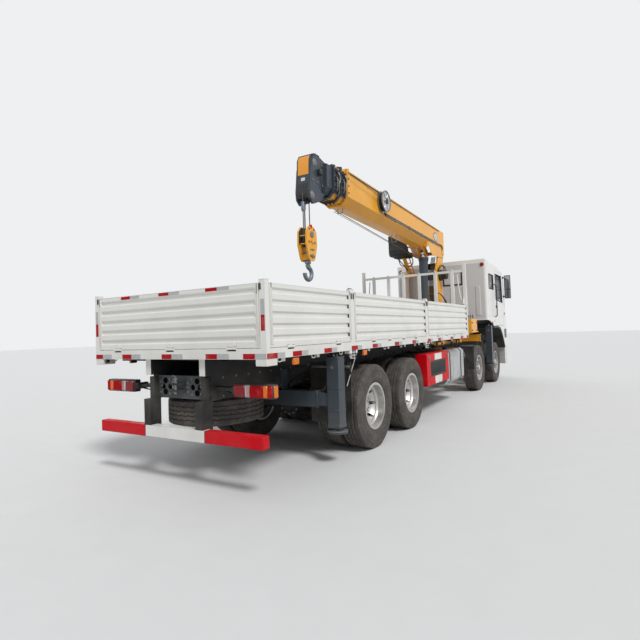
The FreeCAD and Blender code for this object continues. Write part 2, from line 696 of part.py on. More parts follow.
boxes = new_body("battery_box")
for name, side, start, end in (("battery", "-1", "4370", "5620"), ("tool", "1", "4700", "5800")):
    outer = "%s * 1250" % side
    block(boxes, name + "_case", (start, end), ("%s * 700" % side, outer), ("560", "1090"))
    block(boxes, name + "_window", (start + " + 190", end + " - 170"),
          ("%s * 1244" % side, "%s * 1251" % side), ("700", "970"), cut=True)
    for number, offset in enumerate((250, 800)):
        block(boxes, "%s_bracket_%d" % (name, number), ("%s + %d" % (start, offset), "%s + %d" % (start, offset + 70)),
              ("%s * rail_outer" % side, "%s * 701" % side), ("900", "1000"))

spare = new_body("spare_wheel", "760", "80", "705")
for name, corners in (
    ("spare_tyre", [("-118", "300"), ("-140", "330"), ("-150", "420"), ("-138", "500"), ("-106", "542"),
                    ("106", "542"), ("138", "500"), ("150", "420"), ("140", "330"), ("118", "300")]),
    ("spare_disc", [("-60", "70"), ("-60", "200"), ("-110", "301"), ("110", "301"), ("110", "285"),
                    ("-80", "275"), ("-30", "200"), ("-30", "70")]),
):
    turned(spare, name, corners, about="Z")
block(spare, "spare_hanger", ("-40", "40"), ("-90", "90"), ("-35", "-20"))
bar(spare, "spare_post", "Z", ("0", "0"), ("-25", "rail_low + rail_plate - 705"), "20")

# Load bed: floor on cross-bearers, sills, posts, rack.

bed = new_body("load_bed")
block(bed, "floor", ("40", "bed_end - 60"), ("-bed_half + 60", "bed_half - 60"), ("1340", "floor_high"))
for side_name, side in SIDES:
    outer = "%s * bed_half" % side
    plate(bed, "sill_" + side_name, "YZ", [
        (outer, "sill_low"), (outer, "sill_high"), ("%s * (bed_half - 60)" % side, "sill_high"),
        ("%s * (bed_half - 60)" % side, "sill_low + 12"), ("%s * (bed_half - 75)" % side, "sill_low"),
    ], "bed_tail", "bed_end")
    block(bed, "runner_" + side_name, ("60", "bed_end - 20"), ("%s * 360" % side, "%s * 440" % side),
          ("rail_high", "1342"))
    for name, middle in (("one", "post_one"), ("two", "post_two")):
        low = middle + " - post_wide / 2"
        high = middle + " + post_wide / 2"
        plate(bed, "post_%s_%s" % (name, side_name), "YZ", [
            (outer, "1200"), (outer, "post_high"), ("%s * (bed_half - 52)" % side, "post_high"),
            ("%s * (bed_half - 60)" % side, "sill_low"), ("%s * (bed_half - 30)" % side, "1200"),
        ], low, high)
    block(bed, "corner_" + side_name, ("bed_tail", "bed_tail + 60"), (outer, "%s * (bed_half - 70)" % side), ("sill_low", "post_high"))
    block(bed, "rack_post_" + side_name, ("bed_end - 60", "bed_end"), (outer, "%s * (bed_half - 60)" % side),
          ("sill_low", "rack_high"))
block(bed, "tail_sill", ("bed_tail", "60"), ("-bed_half", "bed_half"), ("sill_low", "sill_high"))
block(bed, "head_sill", ("bed_end - 60", "bed_end"), ("-bed_half", "bed_half"), ("sill_low", "sill_high"))
for number in range(11):
    start = 320 + 640 * number
    block(bed, "bearer_%d" % number, (start, start + 60), ("-bed_half + 60", "bed_half - 60"), ("1262", "1342"))
block(bed, "headboard", ("bed_end - 46", "bed_end - 6"), ("-bed_half + 55", "bed_half - 55"), ("sill_high - 5", "2040"))
block(bed, "rack_rail", ("bed_end - 50", "bed_end - 10"), ("-bed_half + 55", "bed_half - 55"), ("rack_rail - 25", "rack_rail + 25"))
for number in range(6):
    across = -950 + 380 * number
    block(bed, "rack_bar_%d" % number, ("bed_end - 45", "bed_end - 15"), (across - 15, across + 15), ("2035", "rack_rail"))

# Drop sides with pressed ribs.

GATES = (
    ("rear", "bed_tail + 60 + slide_gap", "post_one - post_wide / 2 - slide_gap"),
    ("middle", "post_one + post_wide / 2 + slide_gap", "post_two - post_wide / 2 - slide_gap"),
    ("front", "post_two + post_wide / 2 + slide_gap", "bed_end - 60 - slide_gap"),
)
RIB_LEVELS = (1460, 1570, 1680, 1790, 1900)


def ribbed(face, dent, back):
    """Section of a gate plate with pressed ribs in its outer face."""
    corners = [(face, "gate_low")]
    for level in RIB_LEVELS:
        corners += [(face, str(level)), (dent, str(level + 14)), (dent, str(level + 46)), (face, str(level + 60))]
    return corners + [(face, "gate_high"), (back, "gate_high"), (back, "gate_low")]


for name, start, end in GATES:
    for side_name, side in SIDES:
        place = "%s_%s" % (name, side_name)
        gate = new_body("gate_" + place)
        outer = "%s * bed_half" % side
        inner = "%s * (bed_half - gate_thick)" % side
        dent = "%s * (bed_half - 16)" % side
        plate(gate, "gate_plate_" + place, "YZ", ribbed(outer, dent, inner), start, end)
        for end_name, low, high in (("rear", start, start + " + 40"), ("front", end + " - 40", end)):
            block(gate, "gate_edge_%s_%s" % (place, end_name), (low, high), (outer, inner), ("gate_low", "gate_high"))
        for number, share in enumerate((0.2, 0.8)):
            spot = "(%s) + ((%s) - (%s)) * %.1f - 60" % (start, end, start, share)
            hinge(bed, gate, "gate_hinge_%s_%d" % (place, number), "X", (outer, "hinge_z"), spot, "120",
                  "hinge_radius", "hinge_pin")
tail = new_body("tailgate")
plate(tail, "tail_plate", "XZ", ribbed("bed_tail", "bed_tail + 16", "bed_tail + gate_thick"),
      "-(bed_half - 70 - slide_gap)", "bed_half - 70 - slide_gap")
for side_name, side in SIDES:
    block(tail, "tail_edge_" + side_name, ("bed_tail", "bed_tail + gate_thick"),
          ("%s * (bed_half - 110 - slide_gap)" % side, "%s * (bed_half - 70 - slide_gap)" % side),
          ("gate_low", "gate_high"))
for number, across in enumerate(("-900", "-60", "780")):
    hinge(bed, tail, "tail_hinge_%d" % number, "Y", ("bed_tail", "hinge_z"), across, "120",
          "hinge_radius", "hinge_pin")

# Cab.

cab = new_body("cab_shell")
plate(cab, "cab_body", "XZ", [
    ("cab_rear", "1700"), ("cab_rear", "3300"), ("10750", "3240"), ("11540", "3130"),
    ("11700", "2960"), ("11860", "2080"), ("11920", "1750"), ("11920", "960"), ("11480", "900"),
    ("11180", "1250"), ("10900", "1440"), ("10570", "1490"), ("10000", "1490"), ("9800", "1620"),
], "-cab_half", "cab_half")
rounded(cab, "cab_corners", "60", lambda edge: (
    abs(edge.BoundBox.YMax - edge.BoundBox.YMin) < 1
    and edge.BoundBox.ZMax - edge.BoundBox.ZMin > 20
    and edge.BoundBox.ZMax > 1700
    and (edge.BoundBox.XMax < amount("cab_rear") + 5 or edge.BoundBox.XMin > 11530)
) or (edge.BoundBox.ZMin > 3100 and abs(edge.BoundBox.YMax - edge.BoundBox.YMin) < 1))
plate(cab, "cab_room", "XZ", [
    ("cab_rear + cab_skin", "floor_cab"), ("cab_rear + cab_skin", "3255"), ("10748", "3198"),
    ("11524", "3090"), ("11661", "2942"), ("11820", "2075"), ("11878", "floor_cab"),
], "-cab_half + cab_skin", "cab_half - cab_skin", cut=True)
plate(cab, "wheel_room", "XZ", [
    ("11880", "1720"), ("11880", "800"), ("11470", "800"), ("11470", "955"), ("11215", "1275"),
    ("10920", "1480"), ("10580", "1530"), ("9990", "1530"), ("9770", "1660"), ("9770", "1720"),
], "-cab_half + cab_skin", "cab_half - cab_skin", cut=True)
block(cab, "engine_room", ("9300", "11880"), ("-520", "520"), ("800", "1720"), cut=True)
for side_name, side in SIDES:
    inner = "%s * (cab_half - cab_skin - 60)" % side
    outer = "%s * (cab_half + 5)" % side
    block(cab, "door_opening_" + side_name, ("door_rear", "door_front"), (inner, outer), ("door_low", "door_high"), cut=True)
    block(cab, "sleeper_window_" + side_name, ("cab_rear + 180", "door_rear - 160"), (inner, outer),
          ("window_low + 260", "window_high - 60"), cut=True)
    block(cab, "rear_window_" + side_name, ("cab_rear - 5", "cab_rear + cab_skin + 5"),
          ("%s * 100" % side, "%s * 585" % side), ("2670", "3030"), cut=True)
    block(cab, "step_recess_" + side_name, ("11500", "11860"), ("%s * (cab_half - 30)" % side, outer),
          ("1180", "1440"), cut=True)
for number in range(7):
    across = -990 + 330 * number
    plate(cab, "rear_rib_%d" % number, "XY", [
        ("cab_rear + 1", across - 70), ("cab_rear - rib_rise", across - 50),
        ("cab_rear - rib_rise", across + 50), ("cab_rear + 1", across + 70),
    ], "1830", "2600")
for number in range(4):
    level = 1290 + 110 * number
    block(cab, "grille_slot_%d" % number, ("11890", "11930"), ("-820", "820"), (level, level + 60), cut=True)
bar(cab, "intake_duct", "Z", ("intake_x", "intake_y"), ("1900", "2960"), "95")
turned(cab, "intake_cap", [
    ("0", "0"), ("0", "100"), ("40", "135"), ("190", "135"), ("215", "90"), ("215", "0"),
], about="Z", at=("intake_x", "intake_y", "2940"))
for level in ("2050", "2750"):
    block(cab, "intake_bracket_" + level, ("intake_x + 80", "cab_rear + 2"),
          ("intake_y - 30", "intake_y + 30"), (level, level + " + 40"))
block(cab, "screen_opening", ("11600", "11950"), ("-cab_half + 110", "cab_half - 110"), ("2130", "2900"), cut=True)
for side_name, side in SIDES:
    for name, level in (("high", "2960"), ("low", "2400")):
        bar(cab, "mirror_arm_%s_%s" % (name, side_name), "Y", ("11560", level),
            ("%s * (cab_half - 20)" % side, "%s * 1400" % side), "14")
    plate(cab, "mirror_" + side_name, "XY", [
        ("11530", "%s * 1290" % side), ("11560", "%s * 1275" % side), ("11600", "%s * 1310" % side),
        ("11600", "%s * 1425" % side), ("11560", "%s * 1455" % side), ("11530", "%s * 1450" % side),
    ], "2340", "3020")

for side_name, side in SIDES:
    for name, start, low in (("rear", "9480", "1260"), ("front", "11420", "rail_high")):
        block(cab, "cab_mount_%s_%s" % (name, side_name), (start, start + " + 90"),
              ("%s * 345" % side, "%s * 425" % side), (low, "1725"))

glass = new_body("cab_glass")
for side_name, side in SIDES:
    block(glass, "rear_pane_" + side_name, ("cab_rear + 12", "cab_rear + 18"),
          ("%s * 100" % side, "%s * 585" % side), ("2670", "3030"))
    block(glass, "sleeper_pane_" + side_name, ("cab_rear + 180", "door_rear - 160"),
          ("%s * (cab_half - 18)" % side, "%s * (cab_half - 12)" % side), ("window_low + 260", "window_high - 60"))
plate(glass, "screen_pane", "XZ", [
    ("11830", "2130"), ("11839", "2130"), ("11699", "2900"), ("11690", "2900"),
], "-cab_half + 110", "cab_half - 110")

inside = new_body("cab_interior")
for side_name, side in SIDES:
    middle = "%s * 620" % side
    block(inside, "seat_base_" + side_name, ("10350", "10750"), (middle + " - 170", middle + " + 170"), ("floor_cab", "2050"))
    plate(inside, "seat_" + side_name, "XZ", [
        ("10300", "2050"), ("10850", "2050"), ("10880", "2110"), ("10850", "2160"), ("10440", "2150"),
        ("10330", "2700"), ("10300", "2950"), ("10210", "2950"), ("10200", "2700"),
    ], middle + " - 240", middle + " + 240")
plate(inside, "dash", "XZ", [
    ("11500", "2060"), ("11560", "2180"), ("11780", "2120"), ("11780", "1900"), ("11560", "1780"),
], "-1150", "1150")
block(inside, "bunk", ("9480", "10080"), ("-1120", "1120"), ("floor_cab", "2060"))
block(inside, "dash_foot", ("11620", "11700"), ("-1000", "1000"), ("floor_cab", "1860"))
bar(inside, "steering_column", "X", ("620", "2110"), ("11370", "11520"), "30")
hoop(inside, "steering_ring", "X", ("11380", "620", "2110"), "225", "16")
block(inside, "steering_spoke", ("11370", "11390"), ("400", "840"), ("2090", "2130"))

for side_name, side in SIDES:
    door = new_body("door_" + side_name)
    outer = "%s * cab_half" % side
    inner = "%s * (cab_half - cab_skin)" % side
    plate(door, "door_panel_" + side_name, "XZ", [
        ("door_rear + slide_gap", "door_low + slide_gap"), ("door_front - slide_gap", "door_low + slide_gap"),
        ("door_front - slide_gap", "door_high - slide_gap"), ("door_rear + slide_gap", "door_high - slide_gap"),
    ], inner, outer)
    plate(door, "door_window_" + side_name, "XZ", [
        ("door_rear + 90", "window_low"), ("door_front - 70", "window_low - 60"),
        ("door_front - 150", "window_high"), ("door_rear + 90", "window_high"),
    ], "%s * (cab_half - 60)" % side, "%s * (cab_half + 10)" % side, cut=True)
    block(door, "handle_recess_" + side_name, ("door_rear + 60", "door_rear + 260"),
          ("%s * (cab_half - 22)" % side, "%s * (cab_half + 1)" % side), ("2030", "2110"), cut=True)
    block(door, "handle_" + side_name, ("door_rear + 50", "door_rear + 270"),
          ("%s * (cab_half - 10)" % side, outer), ("2058", "2082"))
    for level in ("1750", "2080", "2900"):
        hinge(cab, door, "door_hinge_%s_%s" % (side_name, level), "Z", ("door_front - slide_gap / 2", outer),
              level, "120", "door_hinge_radius", "hinge_pin")

bumper = new_body("front_bumper")
plate(bumper, "bumper_bar", "XY", [
    ("rail_end", "-900"), ("11500", "-1225"), ("11800", "-1225"), ("overall_length - 40", "-1080"),
    ("overall_length", "-820"), ("overall_length", "820"), ("overall_length - 40", "1080"),
    ("11800", "1225"), ("11500", "1225"), ("rail_end", "900"),
], "420", "890")
block(bumper, "bumper_hollow", ("rail_end - 200", "overall_length - 70"), ("-840", "840"), ("419", "850"), cut=True)
for name, across in (("right", "-900"), ("left", "900")):
    block(bumper, "lamp_recess_" + name, ("overall_length - 75", "overall_length + 5"),
          (across + " - 170", across + " + 170"), ("620", "790"), cut=True)
block(bumper, "bumper_bracket", ("rail_end", "11700"), ("-rail_outer", "rail_outer"), ("840", "1000"))
for name, across in (("right", "-560"), ("left", "560")):
    bar(bumper, "tow_hole_" + name, "X", (across, "560"), ("overall_length - 80", "overall_length + 5"), "30", cut=True)

# Fixed crane base with its sub-frame and outrigger boxes.

base = new_body("crane_base")
for side_name, side in SIDES:
    block(base, "sub_rail_" + side_name, ("7400", "9830"), ("%s * 345" % side, "%s * 425" % side),
          ("rail_high", "1260"))
plate(base, "base_body", "YZ", [
    ("-1100", "1400"), ("-1100", "base_high - 30"), ("-500", "base_high"), ("500", "base_high"),
    ("1100", "base_high - 30"), ("1100", "1400"), ("520", "1250"), ("430", "rail_high"),
    ("-430", "rail_high"), ("-520", "1250"),
], "8140", "8700")
block(base, "base_front", ("8699", "9060"), ("-430", "430"), ("rail_high", "base_high"))
for side_name, side in SIDES:
    block(base, "valve_bank_" + side_name, ("8699", "8960"),
          ("%s * 640" % side, "%s * 1020" % side), ("base_high - 330", "base_high - 150"))
    block(base, "valve_shelf_" + side_name, ("8699", "9000"),
          ("%s * 600" % side, "%s * 1060" % side), ("base_high - 350", "base_high - 329"))
bar(base, "ring_seat", "Z", ("slew_x", "0"), ("base_high - 20", "ring_high - 24"), "ring_radius")
bar(base, "ring_race", "Z", ("slew_x", "0"), ("base_high - 20", "ring_high - bearing_gap"), "ring_radius - 60")
OUTRIGGERS = (
    ("rear", "rear_jack_x", "rail_low - box_wall / 2 - 205"),
    ("front", "front_jack_x", "1145"),
)
for name, middle, low in OUTRIGGERS:
    wide = "beam_wide / 2 + slide_gap + box_wall"
    tall = "beam_tall + 2 * slide_gap + 2 * box_wall"
    block(base, name + "_box", ("%s - (%s)" % (middle, wide), "%s + %s" % (middle, wide)),
          ("-box_half", "box_half"), (low, "%s + %s" % (low, tall)))
    block(base, name + "_box_inside",
          ("%s - (%s - box_wall)" % (middle, wide), "%s + %s - box_wall" % (middle, wide)),
          ("-box_half - 1", "box_half + 1"), ("%s + box_wall" % low, "%s + %s - box_wall" % (low, tall)), cut=True)
    for side_name, side in SIDES:
        for label, pad_low, pad_high in (
            ("under", "%s + box_wall - 0.5" % low, "%s + box_wall + slide_gap - 0.1" % low),
            ("over", "%s + box_wall + slide_gap + beam_tall + 0.1" % low,
             "%s + box_wall + 2 * slide_gap + beam_tall + 0.5" % low),
        ):
            block(base, "%s_pad_%s_%s" % (name, label, side_name), (middle + " - 45", middle + " + 45"),
                  ("%s * (box_half - 90)" % side, "%s * (box_half - 10)" % side), (pad_low, pad_high))
for side_name, side in SIDES:
    block(base, "rear_box_hanger_" + side_name, ("rear_jack_x - 60", "rear_jack_x + 60"),
          ("%s * rail_outer" % side, "%s * (rail_outer + 12)" % side),
          ("rail_low - 30", "rail_high - 40"))

for name, middle, low in OUTRIGGERS:
    start = "%s + box_wall + slide_gap" % low
    leg_low = "430" if name == "rear" else "560"
    leg_high = "1240" if name == "rear" else "1550"
    for side_name, side in SIDES:
        place = "%s_%s" % (name, side_name)
        beam = new_body("outrigger_beam_" + place)
        outer = "%s * jack_outer" % side
        inner = "%s * (jack_outer - leg_wide)" % side
        block(beam, "beam_%s_bar" % place, (middle + " - beam_wide / 2", middle + " + beam_wide / 2"),
              ("%s * 20" % side, inner), (start, start + " + beam_tall"))
        block(beam, "leg_%s_case" % place, (middle + " - leg_wide / 2", middle + " + leg_wide / 2"),
              (inner, outer), (leg_low, leg_high))
        bar(beam, "leg_%s_bore" % place, "Z", (middle, "%s * (jack_outer - leg_wide / 2)" % side),
            (leg_low + " + 50", leg_high + " - 60"), "48", cut=True)
        bar(beam, "leg_%s_gland" % place, "Z", (middle, "%s * (jack_outer - leg_wide / 2)" % side),
            (leg_low + " - 1", leg_low + " + 51"), "jack_rod + bearing_gap", cut=True)
        foot = new_body("jack_foot_" + place)
        bar(foot, "jack_%s_rod" % place, "Z", (middle, "%s * (jack_outer - leg_wide / 2)" % side),
            (leg_low + " - 40", leg_high + " - 70"), "jack_rod")
        bar(foot, "jack_%s_pad" % place, "Z", (middle, "%s * (jack_outer - leg_wide / 2)" % side),
            (leg_low + " - 60", leg_low + " - 30"), "120")
        bar(foot, "jack_%s_collar" % place, "Z", (middle, "%s * (jack_outer - leg_wide / 2)" % side),
            (leg_low + " - 31", leg_low + " - 10"), "60")

# Column, winch and operator's seat.

column = new_body("column")
bar(column, "column_foot", "Z", ("slew_x", "0"), ("ring_high", "ring_high + 60"), "ring_radius - 10")
plate(column, "column_body", "XZ", [
    ("column_rear - 60", "ring_high + 60"), ("column_rear - 60", "ring_high + 160"),
    ("column_rear", "ring_high + 320"), ("column_rear", "column_high"),
    ("column_front", "column_high"), ("column_front", "ring_high + 60"),
], "-column_half", "column_half")
for side_name, side in SIDES:
    plate(column, "ear_" + side_name, "XZ", [
        ("column_rear", "column_high - 10"), ("column_rear", "3020"), ("8690", "3520"),
        ("8800", "pivot_z + 140"), ("pivot_x", "pivot_z + 165"), ("9040", "pivot_z + 120"),
        ("9085", "pivot_z"), ("9040", "pivot_z - 130"), ("column_front", "2980"),
        ("column_front", "column_high - 10"),
    ], "%s * column_half" % side, "%s * (column_half - ear_thick)" % side)
    plate(column, "cylinder_ear_" + side_name, "XZ", [
        ("column_rear - 40", "ring_high + 60"), ("column_rear + 10", "ring_high + 340"),
        ("column_rear - 120", "foot_z + 100"), ("foot_x - 30", "foot_z + 75"),
        ("foot_x - 80", "foot_z + 20"), ("foot_x - 80", "foot_z - 40"), ("foot_x - 20", "foot_z - 85"),
    ], "%s * 70" % side, "%s * 100" % side)
bar(column, "slew_gear", "Z", ("8600", "-292"), ("ring_high + 58", "ring_high + 150"), "76")
bar(column, "slew_motor", "Z", ("8600", "-292"), ("ring_high + 140", "ring_high + 360"), "62")
bar(column, "pivot_pin", "Y", ("pivot_x", "pivot_z"),
    ("-column_half - 14", "column_half + 14"), "pin_radius")
bar(column, "foot_pin", "Y", ("foot_x", "foot_z"), ("-105", "105"), "40")
block(column, "seat_arm", ("8500", "8620"), ("column_half", "560"), ("2880", "2960"))
plate(column, "seat_strut", "XZ", [
    ("8500", "2880"), ("8620", "2880"), ("8620", "2990"), ("8220", "3366"), ("8100", "3366"),
], "500", "560")

winch = new_body("winch", "drum_x", "0", "drum_z")
inner = "column_half - ear_thick"
turned(winch, "drum", [
    ("-(%s)" % inner, "0"), ("-(%s)" % inner, "150"), ("-(%s) + 14" % inner, "150"),
    ("-(%s) + 14" % inner, "100"), ("%s - 14" % inner, "100"), ("%s - 14" % inner, "150"),
    (inner, "150"), (inner, "0"),
])
turned(winch, "motor", [
    ("-column_half", "0"), ("-column_half", "140"), ("-column_half - 60", "140"),
    ("-column_half - 75", "110"), ("-column_half - 190", "110"), ("-column_half - 200", "95"),
    ("-column_half - 200", "0"),
])

seat = new_body("operator_seat")
plate(seat, "seat_cushion", "XZ", [
    ("8260", "3366"), ("8290", "3400"), ("8290", "3450"), ("8240", "3480"), ("7920", "3465"),
    ("7840", "3880"), ("7760", "3880"), ("7790", "3420"), ("7850", "3366"),
], "310", "790")
plate(seat, "head_rest", "XZ", [
    ("7740", "3878"), ("7830", "3878"), ("7810", "4010"), ("7740", "4010"),
], "430", "670")

# Boom. Its sections are drawn along the boom: the tip is toward minus x, and z is across it.

def section(inset):
    """Outline of a section, inset from the base section's outside."""
    side = "boom_half - %s" % inset
    top = "boom_top - %s" % inset
    corner = "boom_side + side_rise * %s" % inset
    keel = "keel_half - keel_shift * %s" % inset
    under = "boom_keel + %s" % inset
    return [
        (side, top), ("-(%s)" % side, top), ("-(%s)" % side, corner),
        ("-(%s)" % keel, under), (keel, under), (side, corner),
    ]


SECTIONS = (
    # name, inset of its outside, inner end, outer end
    ("boom_second", "section_step", "1250", "boom_end + 190"),
    ("boom_third", "2 * section_step", "1300", "boom_end + 380"),
    ("boom_tip", "3 * section_step", "1350", "boom_end + 560"),
)

REEL = (
    # name, start and end outward of the boom's side, radius
    ("reel_boss", "-1", "32", "70"),
    ("reel_flange_inner", "20", "28", "reel_radius"),
    ("reel_drum", "26", "96", "reel_radius - 75"),
    ("reel_flange_outer", "94", "102", "reel_radius"),
    ("reel_hub", "100", "122", "55"),
)
boom = new_body("boom_base", "pivot_x", "0", "pivot_z", "boom_angle")
plate(boom, "base_tube", "YZ", section("0"), "-boom_end", "150")
plate(boom, "base_inside", "YZ", section("boom_plate"), "-boom_end - 1", "151", cut=True)
block(boom, "base_root_gap", ("-1150", "151"), ("-boom_half - 1", "boom_half + 1"),
      ("boom_keel - 1", "boom_side"), cut=True)
plate(boom, "base_collar", "YZ", section("-18"), "-boom_end - 1", "-boom_end + 70")
plate(boom, "base_collar_inside", "YZ", section("boom_plate"), "-boom_end - 2", "-boom_end + 71", cut=True)
for side_name, side in SIDES:
    plate(boom, "root_cheek_" + side_name, "XZ", [
        ("-1170", "boom_side + 10"), ("-900", "-160"), ("-760", "-200"), ("-60", "-140"),
        ("90", "-120"), ("150", "-40"), ("150", "boom_side + 10"),
    ], "%s * boom_half" % side, "%s * (boom_half - boom_plate + 0.5)" % side)
    bar(boom, "root_bore_" + side_name, "Y", ("0", "0"),
        ("%s * (boom_half - 20)" % side, "%s * (boom_half + 5)" % side), "pin_radius + bearing_gap", cut=True)
    plate(boom, "eye_bracket_" + side_name, "XZ", [
        ("-1130", "80"), ("-1130", "-20"), ("-860", "-190"), ("-740", "-190"), ("-720", "-60"), ("-900", "80"),
    ], "%s * 62" % side, "%s * 82" % side)
for name, start, end, radius in REEL:
    bar(boom, name, "Y", ("-reel_u", "reel_w"), ("-boom_half - %s" % start, "-boom_half - %s" % end), radius)
plate(boom, "eye_bulkhead", "XZ", [
    ("-1170", "90"), ("-1170", "-25"), ("-1110", "-25"), ("-1110", "90"),
], "-boom_half + 5", "boom_half - 5")

def wear_pads(body, name, inset, end):
    """Pads inside a section's outer end, over and beside the next section."""
    block(body, name + "_pad_over", ("-(%s) + 5" % end, "-(%s) + 85" % end), ("-60", "60"),
          ("boom_top - %s - section_step + 0.1" % inset, "boom_top - %s - boom_plate + 0.5" % inset))
    block(body, name + "_pad_under", ("-(%s) + 5" % end, "-(%s) + 85" % end), ("-50", "50"),
          ("boom_keel + %s + boom_plate - 0.5" % inset, "boom_keel + %s + section_step - 0.1" % inset))


wear_pads(boom, "boom_base", "0", "boom_end")
for name, inset, start, end in SECTIONS:
    body = new_body(name, "pivot_x", "0", "pivot_z", "boom_angle")
    plate(body, name + "_tube", "YZ", section("(%s)" % inset), "-(%s)" % end, "-(%s)" % start)
    plate(body, name + "_inside", "YZ", section("(%s + boom_plate)" % inset), "-(%s) - 1" % end,
          "-(%s) + 1" % start, cut=True)
    if name != "boom_tip":
        plate(body, name + "_collar", "YZ", section("(%s - 14)" % inset), "-(%s) - 1" % end, "-(%s) + 50" % end)
        plate(body, name + "_collar_inside", "YZ", section("(%s + boom_plate)" % inset), "-(%s) - 2" % end,
              "-(%s) + 51" % end, cut=True)
        wear_pads(body, name, "(%s)" % inset, end)
    else:
        for side_name, side in SIDES:
            plate(body, "head_cheek_" + side_name, "XZ", [
                ("-(%s) + 60" % end, "520"), ("-(%s) + 60" % end, "40"), ("-(%s) - 60" % end, "-120"),
                ("-sheave_u + 90", "sheave_w - 105"), ("-sheave_u", "sheave_w - 135"),
                ("-sheave_u - 85", "sheave_w - 70"), ("-sheave_u - 95", "sheave_w + 40"),
                ("-sheave_u - 60", "300"), ("-sheave_u + 20", "540"), ("-sheave_u + 120", "580"),
            ], "%s * head_half" % side, "%s * (head_half - 20)" % side)
        block(body, "head_plate", ("-(%s) - 12" % end, "-(%s)" % end), ("-boom_half + 75", "boom_half - 75"),
              ("20", "490"))
        for label, along, across, radius in (
            ("low", "-sheave_u", "sheave_w", "sheave_radius - 0.1"),
            ("high", "-sheave_u + 70", "430", "sheave_radius + 20"),
        ):
            bar(body, "sheave_%s_axle" % label, "Y", (along, across), ("-head_half - 12", "head_half + 12"), "28")
            bar(body, "sheave_" + label, "Y", (along, across), ("-45", "45"), radius)

# Lift cylinder, leaning with its rod toward the boom.

eye_x = "(pivot_x - eye_u * cos(boom_angle) + eye_w * sin(boom_angle))"
eye_z = "(pivot_z + eye_u * sin(boom_angle) + eye_w * cos(boom_angle))"
luff_lean = "atan((%s - foot_x) / (%s - foot_z))" % (eye_x, eye_z)
luff_length = "sqrt((%s - foot_x) ^ 2 + (%s - foot_z) ^ 2)" % (eye_x, eye_z)
barrel = new_body("luff_barrel", "foot_x", "0", "foot_z", luff_lean)
bar(barrel, "barrel_eye", "Y", ("0", "0"), ("-60", "60"), "75")
turned(barrel, "barrel_shank", [
    ("20", "0"), ("20", "58"), ("barrel_start - 40", "58"), ("barrel_start", "luff_barrel_radius - 15"),
    ("barrel_start", "0"),
], about="Z")
bar(barrel, "barrel_tube", "Z", ("0", "0"), ("barrel_start - 1", luff_length + " - 150"), "luff_barrel_radius")
bar(barrel, "barrel_neck", "Z", ("0", "0"), (luff_length + " - 200", luff_length + " - 130"), "luff_barrel_radius + 12")
bar(barrel, "barrel_bore", "Z", ("0", "0"), ("barrel_start + 50", luff_length + " - 200"), "luff_rod_radius + 6", cut=True)
bar(barrel, "barrel_gland", "Z", ("0", "0"), (luff_length + " - 201", luff_length + " - 120"),
    "luff_rod_radius + bearing_gap", cut=True)
bar(barrel, "barrel_pin_bore", "Y", ("0", "0"), ("-61", "61"), "40 + bearing_gap", cut=True)
piston = new_body("luff_rod", "foot_x", "0", "foot_z", luff_lean)
bar(piston, "rod_bar", "Z", ("0", "0"), ("270", luff_length + " - 40"), "luff_rod_radius")
bar(piston, "rod_eye", "Y", ("0", luff_length), ("-50", "50"), "68")
bar(piston, "rod_eye_bore", "Y", ("0", luff_length), ("-51", "51"), "36", cut=True)

# Hook block hanging from the head sheave, and its swivelling hook.

drop_x = "pivot_x - sheave_u * cos(boom_angle) + sheave_w * sin(boom_angle)"
drop_z = "pivot_z + sheave_u * sin(boom_angle) + sheave_w * cos(boom_angle)"
hanger = new_body("hook_block", drop_x, "0", drop_z)
for side_name, side in SIDES:
    plate(hanger, "block_plate_" + side_name, "XZ", [
        ("-70", "-480"), ("70", "-480"), ("140", "-560"), ("150", "-760"), ("90", "-960"),
        ("50", "-1005"), ("-50", "-1005"), ("-90", "-960"), ("-150", "-760"), ("-140", "-560"),
    ], "%s * 60" % side, "%s * 85" % side)
    bar(hanger, "fall_" + side_name, "Z", ("%s * (sheave_radius + rope_radius)" % side, "0"),
        ("-700", "0"), "rope_radius")
bar(hanger, "block_axle", "Y", ("0", "-700"), ("-110", "110"), "30")
bar(hanger, "block_sheave", "Y", ("0", "-700"), ("-50", "50"), "sheave_radius + 1")
hoop(hanger, "rope_over", "Y", ("0", "0", "0"), "sheave_radius + rope_radius", "rope_radius", arc=180, start=180)
hoop(hanger, "rope_under", "Y", ("0", "0", "-700"), "sheave_radius + rope_radius", "rope_radius", arc=180, start=0)
block(hanger, "block_cross", ("-60", "60"), ("-85", "85"), ("-985", "-900"))
bar(hanger, "swivel_bore", "Z", ("0", "0"), ("-1010", "-880"), "30 + bearing_gap", cut=True)

hook = new_body("hook", drop_x, "0", drop_z)
bar(hook, "hook_shank", "Z", ("0", "0"), ("-1100", "-870"), "30")
bar(hook, "hook_nut", "Z", ("0", "0"), ("-899", "-860"), "44")
bar(hook, "hook_collar", "Z", ("0", "0"), ("-1040", "-990 - slide_gap - 9"), "48")
hoop(hook, "hook_bow", "Y", ("0", "0", "-1190"), "95", "32", arc=270, start=-90)

finished = [piece.finish() for piece in pieces]
document.recompute()

for item in document.Objects:
    if "Invalid" in item.State or "Error" in item.State:
        raise RuntimeError("not built: " + item.Name)
for item in finished:
    if item.Shape.isNull() or not item.Shape.isValid():
        raise RuntimeError("bad shape: " + item.Label)
    item.Shape.exportStep("parts/%s.step" % item.Label)
print("pieces:", len(finished))
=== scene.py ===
import copy
import math

import bmesh
import bpy
from mathutils import Matrix, Vector


